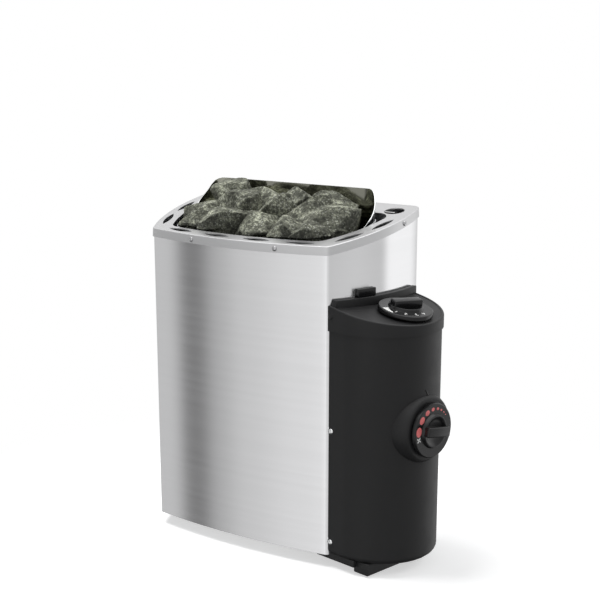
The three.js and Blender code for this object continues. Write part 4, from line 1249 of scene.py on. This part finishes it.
@dataclass
class ControlBox:
    """The black box on the casing's right: housing, lid, ridge, catch, foot and screws."""

    origin: tuple[float, float, float] = (0.178, -0.117, -0.330)
    turn: float = math.radians(-10.5)
    radius: float = 0.074
    top: float = 0.305
    bottom_round: float = 0.009
    wall: float = 0.0022
    clear: float = 0.0009
    boss_z: float = 0.176
    lid_radius: float = 0.076
    lid_foot: float = 0.297
    lid_mid: float = 0.3247
    lid_slant: float = math.radians(10.8)
    lid_wall: float = 0.0015
    ridge_top: float = 0.3355
    ridge_wall: float = 0.007
    catch_rise: float = 0.0105
    catch_wall: float = 0.004
    catch_y: tuple[float, float] = (-0.151, -0.123)
    screw_x: float = -0.01875
    screw_z: tuple[float, float] = (0.019, 0.168)

    def __post_init__(self) -> None:
        """Works out the box's own frame and the casing's arc seen in it."""
        self.frame = Matrix.Translation(self.origin) @ Matrix.Rotation(self.turn, 4, "Z")
        side = Vector((*PLAN.side_centre(), self.origin[2]))
        self.arc_centre = (self.frame.inverted() @ side).to_2d()
        self.arc_radius = PLAN.side_r - self.clear

    def build(self) -> None:
        """Makes every piece of the box."""
        self.housing()
        self.lid()
        self.catch()
        self.pointer()
        self.foot()
        screw = Screw(radius=0.0036)
        for name, z in zip(("box_screw_lower", "box_screw_upper"), self.screw_z):
            point = self.frame @ Vector((self.screw_x, -self.radius, z))
            screw.build(name, turned_to(point, self.turn - math.pi / 2))

    def outline(self, forge: Forge, radius: float) -> tuple[list[BMEdge], BMFace]:
        """Draws the box's plan: a half round, two flanks and the casing's arc.

        Args:
            forge: Mesh to draw in.
            radius: Radius of the half round.

        Returns:
            The edges off the casing's arc, and the plan's face.
        """
        ends = [math.asin((side - self.arc_centre.y) / self.arc_radius) for side in (-radius, radius)]
        corners = [self.arc_centre.x + self.arc_radius * math.cos(end) for end in ends]
        first = forge.point(corners[0], -radius)
        vert = forge.line(first, 0.0, -radius)
        vert = forge.arc(vert, (0.0, 0.0), math.pi, 48)
        vert = forge.line(vert, corners[1], radius)
        free = forge.bm.edges[:]
        vert = forge.arc(vert, self.arc_centre, ends[0] - ends[1], 16)
        bmesh.ops.remove_doubles(forge.bm, verts=[first, vert], dist=1e-4)
        return free, forge.face()

    def housing(self) -> None:
        """Makes the housing with its round boss."""
        forge = Forge()
        free, floor = self.outline(forge, self.radius)
        bmesh.ops.extrude_edge_only(forge.bm, edges=forge.bm.edges[:])
        risen = [vert for vert in forge.bm.verts if vert not in set(floor.verts)]
        bmesh.ops.translate(forge.bm, verts=risen, vec=(0.0, 0.0, self.top))
        forge.round([edge for edge in free if edge.is_valid], self.bottom_round, 6)
        forge.outward()
        floor = min(forge.bm.faces, key=lambda item: item.calc_center_median().z)
        if floor.normal.z > 0:
            bmesh.ops.reverse_faces(forge.bm, faces=forge.bm.faces[:])
        bmesh.ops.solidify(forge.bm, geom=forge.bm.faces[:], thickness=self.wall)
        self.boss(forge)
        forge.place(self.frame)
        made = forge.piece("housing_shell")
        Dress.soften(made, 0.0005)
        Dress.seat(made, Slot.BLACK, ["box_housing"])

    def boss(self, forge: Forge) -> None:
        """Adds the round boss that carries the thermostat knob, which blends into the wall.

        Args:
            forge: The housing's mesh, in the box's frame.
        """
        part = Forge()
        part.spin([(0.0, 0.052), (0.0470, 0.052), (0.0458, 0.064), (0.0438, 0.0728), (0.0418, 0.0764),
                   (0.0402, 0.0782), (0.0390, 0.0788), (0.0378, 0.0790), (0.0, 0.0790)], 72)
        part.outward()
        part.place(Matrix.Translation((0.0, 0.0, self.boss_z)) @ Matrix.Rotation(math.pi / 2, 4, "Y"))
        mesh = bpy.data.meshes.new("boss")
        part.bm.to_mesh(mesh)
        part.bm.free()
        forge.bm.from_mesh(mesh)
        bpy.data.meshes.remove(mesh)

    def lid(self) -> None:
        """Makes the lid: level skirt, slanted top with a fine rim, and the ridge along the casing."""
        forge = Forge()
        _, floor = self.outline(forge, self.lid_radius)
        forge.draw_faces([floor], (0.0, 0.0, 0.06))
        forge.place(Matrix.Translation((0.0, 0.0, self.lid_foot)))
        slope = Vector((math.sin(self.lid_slant), 0.0, math.cos(self.lid_slant)))
        geometry = [*forge.bm.verts, *forge.bm.edges, *forge.bm.faces]
        cut = bmesh.ops.bisect_plane(forge.bm, geom=geometry, plane_co=(0.0, 0.0, self.lid_mid),
                                     plane_no=slope, clear_outer=True, dist=1e-6)["geom_cut"]
        top = forge.face([item for item in cut if isinstance(item, BMEdge)])
        floors = [face for face in forge.bm.faces if abs(face.calc_center_median().z - self.lid_foot) < 1e-5]
        bmesh.ops.delete(forge.bm, geom=floors, context="FACES_ONLY")
        forge.outward()
        if top.normal.z < 0:
            bmesh.ops.reverse_faces(forge.bm, faces=forge.bm.faces[:])
        rim = list(top.edges)
        bmesh.ops.inset_region(forge.bm, faces=[top], thickness=0.0034, depth=0.0, use_even_offset=True)
        bmesh.ops.inset_region(forge.bm, faces=[top], thickness=0.0006, depth=-0.0007, use_even_offset=True)
        forge.round([edge for edge in rim if edge.is_valid], 0.0018, 4)
        bmesh.ops.solidify(forge.bm, geom=forge.bm.faces[:], thickness=self.lid_wall)
        self.strip(forge, self.ridge_wall, self.top + 0.008, self.ridge_top,
                   (-math.asin((self.lid_radius + self.arc_centre.y) / self.arc_radius),
                    math.asin((self.lid_radius - self.arc_centre.y) / self.arc_radius)), 0.0014,
                   Vector((0.0, 0.0022 - self.lid_radius, self.lid_mid)))
        forge.place(self.frame)
        made = forge.piece("lid_shell")
        Dress.soften(made, 0.0004)
        Dress.seat(made, Slot.BLACK, ["box_lid"])

    def strip(self, forge: Forge, wall: float, low: float, high: float, ends: tuple[float, float], size: float,
              trim: Vector | None = None) -> None:
        """Adds a rounded strip that follows the casing's side.

        Args:
            forge: Mesh to add to, in the box's frame.
            wall: Thickness of the strip.
            low: Its lower height.
            high: Its upper height.
            ends: Headings of its ends from the side arc's centre.
            size: Width of its rounds.
            trim: Point of the sloping plane that ends it in front, or none.
        """
        part = Forge()
        way = Vector((math.cos(ends[0]), math.sin(ends[0])))
        near = self.arc_centre + way * self.arc_radius
        far = self.arc_centre + way * (self.arc_radius + wall)
        start = part.point(near.x, near.y, low)
        part.line(start, far.x, far.y, low)
        bmesh.ops.spin(part.bm, geom=[*part.bm.verts, *part.bm.edges], cent=(*self.arc_centre, 0.0), axis=(0, 0, 1),
                       dvec=(0, 0, 0), angle=ends[1] - ends[0], steps=20)
        part.draw_faces(part.bm.faces[:], (0.0, 0.0, high - low))
        if trim is not None:
            geometry = [*part.bm.verts, *part.bm.edges, *part.bm.faces]
            cut = bmesh.ops.bisect_plane(part.bm, geom=geometry, plane_co=trim, dist=1e-7, clear_outer=True,
                                         plane_no=(0.0, -math.cos(0.35), math.sin(0.35)))["geom_cut"]
            part.face([item for item in cut if isinstance(item, BMEdge)])
        part.outward()
        part.round(part.sharp(50), size, 3)
        mesh = bpy.data.meshes.new("strip")
        part.bm.to_mesh(mesh)
        part.bm.free()
        forge.bm.from_mesh(mesh)
        bpy.data.meshes.remove(mesh)

    def catch(self) -> None:
        """Makes the small catch on the ridge."""
        forge = Forge()
        ends = tuple(math.asin((y - PLAN.side_y) / self.arc_radius) - self.turn for y in self.catch_y)
        self.strip(forge, self.catch_wall, self.ridge_top, self.ridge_top + self.catch_rise, ends, 0.0012)
        forge.place(self.frame)
        Dress.seat(forge.piece("catch_tab"), Slot.GLOSS, ["lid_catch"])

    def pointer(self) -> None:
        """Makes the small tick above the thermostat knob: a raised pointer mark in darker gloss black, its darkness
        painted shade for the shadowed edge of the moulded pointer.
        """
        forge = Forge()
        forge.block((0.0730, -0.0008, -0.0046), (0.0746, 0.0008, 0.0046), 0.0003, 2)
        forge.place(self.frame @ Matrix.Translation((0.0, 0.0006, self.boss_z + 0.0462))
                    @ Matrix.Rotation(math.radians(35), 4, "X"))
        # The tick's darker gloss black is painted shade: it stands for the shadowed edge of the moulded pointer.
        Dress.seat(forge.piece("pointer_shade_tick"), Slot.GLOSS)

    def foot(self) -> None:
        """Makes the foot under the box: a plate and a deeper bar."""
        forge = Forge()
        forge.block((0.015, -0.0665, -0.014), (0.0395, 0.010, 0.002), 0.0016)
        forge.block((-0.046, -0.072, -0.006), (0.020, 0.010, 0.0032), 0.0010)
        forge.place(self.frame)
        Dress.seat(forge.piece("foot_block"), Slot.BLACK, ["box_foot"])


class Face(Enum):
    """The two dial faces."""

    TIMER = "timer"
    THERMOSTAT = "thermostat"


@dataclass
class Knob:
    """A round knob with a hub, a bar grip and printed marks."""

    face: Face
    seat: Matrix
    turn: float
    lift: float
    radius: float = 0.035
    disc: float = 0.006
    hub: float = 0.0212
    hub_rise: float = 0.004
    grip: tuple[float, float] = (0.0128, 0.0112)
    mark_rise: float = 0.00015

    def build(self) -> None:
        """Makes the knob and its marks."""
        self.moulding()
        marks = {Face.TIMER: self.hours, Face.THERMOSTAT: self.heat_dots}
        marks[self.face]()

    def moulding(self) -> None:
        """Makes disc, hub and grip as one moulding."""
        forge = Forge()
        top = self.lift + self.disc
        crest = top + self.hub_rise
        hub = self.hub
        forge.spin([(0.0, self.lift), (self.radius - 0.001, self.lift), (self.radius, self.lift + 0.0008),
                    (self.radius, top - 0.0018), (self.radius - 0.0004, top - 0.0007), (self.radius - 0.0014, top),
                    (hub + 0.0013, top), (hub + 0.0008, top + 0.0006), (hub + 0.0002, crest - 0.0012),
                    (hub - 0.0006, crest - 0.0002), (hub - 0.0016, crest), (hub - 0.0028, crest - 0.0003),
                    (hub - 0.0050, top + 0.0022), (hub - 0.0080, top + 0.0011), (0.0, top + 0.001)], 72)
        forge.outward()
        width, height = self.grip
        reach = hub - 0.0004
        forge.block((-width / 2, -reach, top - 0.0005), (width / 2, reach, top - 0.0005 + height), 0.0019, 4)
        forge.place(self.seat @ Matrix.Rotation(self.turn, 4, "Z"))
        made = forge.piece(f"{self.face.value}_grip")
        Dress.seat(made, Slot.GLOSS, [f"{self.face.value}_knob"], self.face.value)

    def spot(self, radius: float, angle: float, spin: float = 0.0) -> Matrix:
        """Gives a frame on the disc's face.

        Args:
            radius: Distance from the axis.
            angle: Heading round the axis.
            spin: Turn of the mark itself.

        Returns:
            The frame, Z off the face.
        """
        out = Vector((radius * math.cos(angle), radius * math.sin(angle), self.lift + self.disc))
        return self.seat @ Matrix.Translation(out) @ Matrix.Rotation(spin, 4, "Z")

    def heat_dots(self) -> None:
        """Prints the growing red dots and the white star of the thermostat."""
        forge = Forge()
        dots = ((173, 6.2), (142, 5.2), (116, 4.1), (94, 2.9), (75, 2.2), (60, 1.7), (47, 1.3), (37, 1.0))
        flat = Matrix.Diagonal((0.8, 1.0, 1.0, 1.0))
        for angle, size in dots:
            heading = math.radians(angle + 90)
            made = bmesh.ops.create_cone(forge.bm, cap_ends=True, segments=28, radius1=size * 0.001,
                                         radius2=size * 0.00094, depth=self.mark_rise)["verts"]
            forge.place(self.spot(0.0279, heading, heading) @ flat @ Matrix.Translation((0, 0, self.mark_rise / 2)), made)
        Dress.seat(forge.piece("heat_dots"), Slot.RED, body=self.face.value, finish=MARK_RED)
        star = Forge()
        for turn in range(2):
            before = set(star.bm.verts)
            star.block((-0.0038, -0.0008, 0.0), (0.0038, 0.0008, self.mark_rise), 0.00004, 1)
            made = [vert for vert in star.bm.verts if vert not in before]
            star.place(self.spot(0.0285, math.radians(-166 + 90), (turn + 0.6) * math.pi / 2), made)
        Dress.seat(star.piece("zero_star"), Slot.PALE, body=self.face.value, finish=MARK_WHITE)

    def hours(self) -> None:
        """Prints the timer's hour numbers and its tapered wedge."""
        forge = Forge()
        for number, angle in zip("1234", (-75, -48, -18, 8)):
            heading = math.radians(angle)
            glyph = bpy.data.curves.new("glyph", "FONT")
            glyph.body = number
            glyph.size = 0.0085
            glyph.align_x = "CENTER"
            glyph.align_y = "CENTER"
            glyph.extrude = self.mark_rise / 2
            holder = bpy.data.objects.new("glyph", glyph)
            mesh = bpy.data.meshes.new_from_object(holder)
            before = set(forge.bm.verts)
            forge.bm.from_mesh(mesh)
            made = [vert for vert in forge.bm.verts if vert not in before]
            seat = self.spot(0.0262, heading, heading - math.pi / 2)
            forge.place(seat @ Matrix.Translation((0, 0, self.mark_rise / 2)), made)
            bpy.data.objects.remove(holder)
            bpy.data.curves.remove(glyph)
            bpy.data.meshes.remove(mesh)
        Dress.seat(forge.piece("hour_numbers"), Slot.PALE, body=self.face.value, finish=MARK_WHITE)
        wedge = Forge()
        sweep = math.radians(33)
        inner, outer = 0.0243, 0.0325
        start = wedge.point(inner, 0.0)
        wedge.line(start, outer, 0.0)
        bmesh.ops.spin(wedge.bm, geom=[*wedge.bm.verts, *wedge.bm.edges], cent=(0, 0, 0), axis=(0, 0, 1),
                       dvec=(0, 0, 0), angle=sweep, steps=10)
        for vert in wedge.bm.verts:
            if vert.co.length < (inner + outer) / 2:
                vert.co *= 1.0 + 0.26 * math.atan2(vert.co.y, vert.co.x) / sweep
        wedge.draw_faces(wedge.bm.faces[:], (0.0, 0.0, self.mark_rise))
        wedge.outward()
        wedge.place(self.seat @ Matrix.Rotation(math.radians(-111), 4, "Z")
                    @ Matrix.Translation((0, 0, self.lift + self.disc)))
        Dress.seat(wedge.piece("hour_wedge"), Slot.PALE, body=self.face.value, finish=MARK_WHITE)


@dataclass
class Studio:
    """Camera, pale floor, world and lamps."""

    eye: tuple[float, float, float] = (1.02824, -1.51082, 0.32415)
    tilt: float = 14.7374
    heading: float = 35.0838
    lens: float = 79.127
    shift: float = 0.1325
    floor_z: float = -0.346
    floor_r: float = 1.3
    bands: tuple[tuple[float, float], ...] = (
        (-180, 0.75), (-100, 0.66), (-68, 0.62), (-55, 0.66), (-50, 0.22), (-47.5, 0.22), (-42, 0.52), (-35, 0.7),
        (-22, 0.85), (-8, 1.04), (40, 0.8), (80, 0.66), (106, 0.71), (127, 0.66), (136, 1.12), (160, 1.1),
        (173, 0.8), (180, 0.75))
    overhead: tuple[float, float, float] = (0.66, 0.9, 2.3)
    underfoot: tuple[float, float, float] = (-0.42, -0.7, 0.1)

    def build(self) -> None:
        """Makes camera, floor, world and lamps."""
        self.camera()
        self.floor()
        self.world()
        self.lamps()

    def camera(self) -> None:
        """Makes the camera of the photograph."""
        data = bpy.data.cameras.new("camera")
        data.lens = self.lens
        data.sensor_width = 36.0
        data.shift_y = self.shift
        made = bpy.data.objects.new("camera", data)
        made.location = self.eye
        made.rotation_euler = (math.radians(90 - self.tilt), 0.0, math.radians(self.heading))
        bpy.context.scene.collection.objects.link(made)
        bpy.context.scene.camera = made

    def floor(self) -> None:
        """Makes the pale floor that keeps the object's shadow."""
        forge = Forge()
        bmesh.ops.create_circle(forge.bm, cap_ends=True, segments=96, radius=self.floor_r)
        forge.place(Matrix.Translation((0.0, 0.0, self.floor_z - 0.0005)))
        made = forge.piece("floor")
        paper = bpy.data.materials.new("floor_paper")
        paper.use_nodes = True
        paper.node_tree.nodes.clear()
        tree = Tree(paper.node_tree)
        shader = tree.add("ShaderNodeBsdfDiffuse", {"Color": (0.72, 0.72, 0.72, 1.0)})
        glow = tree.add("ShaderNodeEmission", {"Strength": 0.56})
        both = tree.add("ShaderNodeAddShader", {0: shader.outputs[0], 1: glow.outputs[0]})
        path = tree.add("ShaderNodeLightPath")
        seen = tree.add("ShaderNodeMixShader", {0: path.outputs["Is Camera Ray"], 1: shader.outputs[0], 2: both.outputs[0]})
        clear = tree.add("ShaderNodeBsdfTransparent")
        place = tree.add("ShaderNodeTexCoord").outputs["Object"]
        reach = tree.add("ShaderNodeVectorMath", {0: place, 1: (0.05, -0.1, self.floor_z)}, operation="DISTANCE")
        fade = tree.span(reach.outputs["Value"], 0.25, 0.62, 0.0, 1.0)
        fade = tree.math("MAXIMUM", fade, tree.add("ShaderNodeNewGeometry").outputs["Backfacing"])
        edge = tree.add("ShaderNodeMixShader", {0: fade, 1: seen.outputs[0], 2: clear.outputs[0]})
        tree.add("ShaderNodeOutputMaterial", {"Surface": edge.outputs[0]})
        made.data.materials.append(paper)
        made.visible_glossy = False

    def world(self) -> None:
        """Makes the white surroundings with the soft bands that the steel shows."""
        made = bpy.data.worlds.new("studio")
        bpy.context.scene.world = made
        made.use_nodes = True
        made.node_tree.nodes.clear()
        tree = Tree(made.node_tree)
        way = tree.add("ShaderNodeSeparateXYZ", {0: tree.add("ShaderNodeTexCoord").outputs["Generated"]})
        heading = tree.math("ARCTAN2", way.outputs[0], tree.math("MULTIPLY", way.outputs[1], -1.0))
        place = tree.span(heading, -math.pi, math.pi, 0.0, 1.0)
        stops = [((angle + 180) / 360, (level, level, level, 1.0)) for angle, level in self.bands]
        band = tree.ramp(place, stops, "EASE")
        above = tree.span(way.outputs[2], self.overhead[0], self.overhead[1], 0.0, 1.0)
        band = tree.blend(above, band, (self.overhead[2], self.overhead[2], self.overhead[2], 1.0))
        below = tree.span(way.outputs[2], self.underfoot[0], self.underfoot[1], 0.0, 1.0)
        band = tree.blend(below, band, (self.underfoot[2], self.underfoot[2], self.underfoot[2], 1.0))
        path = tree.add("ShaderNodeLightPath")
        shine = tree.math("MAXIMUM", path.outputs["Is Glossy Ray"], path.outputs["Is Transmission Ray"])
        soft = tree.add("ShaderNodeBackground", {"Color": (0.95, 0.975, 1.0, 1.0), "Strength": 0.3})
        bright = tree.add("ShaderNodeBackground", {"Color": band, "Strength": 1.0})
        white = tree.add("ShaderNodeBackground", {"Strength": 1.0})
        white.inputs["Color"].default_value = (1.0, 1.0, 1.0, 1.0)
        lit = tree.add("ShaderNodeMixShader", {0: shine, 1: soft.outputs[0], 2: bright.outputs[0]})
        seen = tree.add("ShaderNodeMixShader", {0: path.outputs["Is Camera Ray"], 1: lit.outputs[0], 2: white.outputs[0]})
        tree.add("ShaderNodeOutputWorld", {"Surface": seen.outputs[0]})

    def lamp(self, name: str, place: tuple[float, float, float], size: float, power: float) -> None:
        """Makes one soft lamp that looks at the heater.

        Args:
            name: The lamp's name.
            place: Where it hangs.
            size: Its width.
            power: Its power in watts.
        """
        data = bpy.data.lights.new(name, "AREA")
        data.shape = "SQUARE"
        data.size = size
        data.energy = power
        made = bpy.data.objects.new(name, data)
        made.location = place
        made.visible_glossy = False
        made.rotation_euler = (Vector((0.05, -0.1, -0.05)) - Vector(place)).to_track_quat("-Z", "Y").to_euler()
        bpy.context.scene.collection.objects.link(made)

    def lamps(self) -> None:
        """Hangs the key lamp above and the fill lamps."""
        self.lamp("key_lamp", (-0.7, -0.35, 2.3), 1.3, 62.0)
        self.lamp("right_fill", (1.9, 0.3, 1.5), 1.0, 13.0)
        bpy.context.scene.view_settings.view_transform = "Standard"


SHOWN_NODES: dict[Slot, tuple[str, ...]] = {
    Slot.ZINC: ("back_plate", "wall_bracket", "base_plate", "stone_basket", "stone_grate", "basket_hanger_lower",
                "basket_hanger_upper", "timer_shaft", "thermostat_body", "thermostat_shaft", "sensor_clip"),
    Slot.BLACK: ("wall_spacer_left", "wall_spacer_right", "cable_gland"),
    Slot.PALE: ("timer_body", "limiter_body", "terminal_block"),
    Slot.RED: ("limiter_button",),
    Slot.SHEATH: ("heating_element_1", "heating_element_2", "heating_element_3"),
    Slot.STONE: ("stone_fill",),
    Slot.POLISHED: ("thermostat_sensor",),
}


def dress_nodes() -> None:
    """Gives every CAD node that stays in view its finish."""
    for slot, names in SHOWN_NODES.items():
        for name in names:
            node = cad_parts[name]
            node.data.materials.clear()
            node.data.materials.append(Paints.get(FINISHES[slot]))
            LOG.info("%s keeps its solid, finish %s", name, FINISHES[slot].name)


def main() -> None:
    """Builds the heater piece by piece."""
    logging.basicConfig(level=logging.INFO, format="%(name)s: %(message)s")
    Studio().build()
    Casing().build()
    StoneBed().build()
    box = ControlBox()
    box.build()
    lid = box.frame @ Matrix.Translation((0.0, 0.0, box.lid_mid)) @ Matrix.Rotation(box.lid_slant, 4, "Y")
    timer = lid @ Matrix.Translation((0.0354 / math.cos(box.lid_slant), 0.0, 0.0))
    Knob(Face.TIMER, timer, math.radians(-16), 0.0015).build()
    axis = box.frame @ Matrix.Translation((0.0, 0.0, box.boss_z)) @ Matrix.Rotation(math.pi / 2, 4, "Y")
    Knob(Face.THERMOSTAT, axis, math.radians(-9), 0.0805).build()
    dress_nodes()


if __name__ == "__main__":
    main()
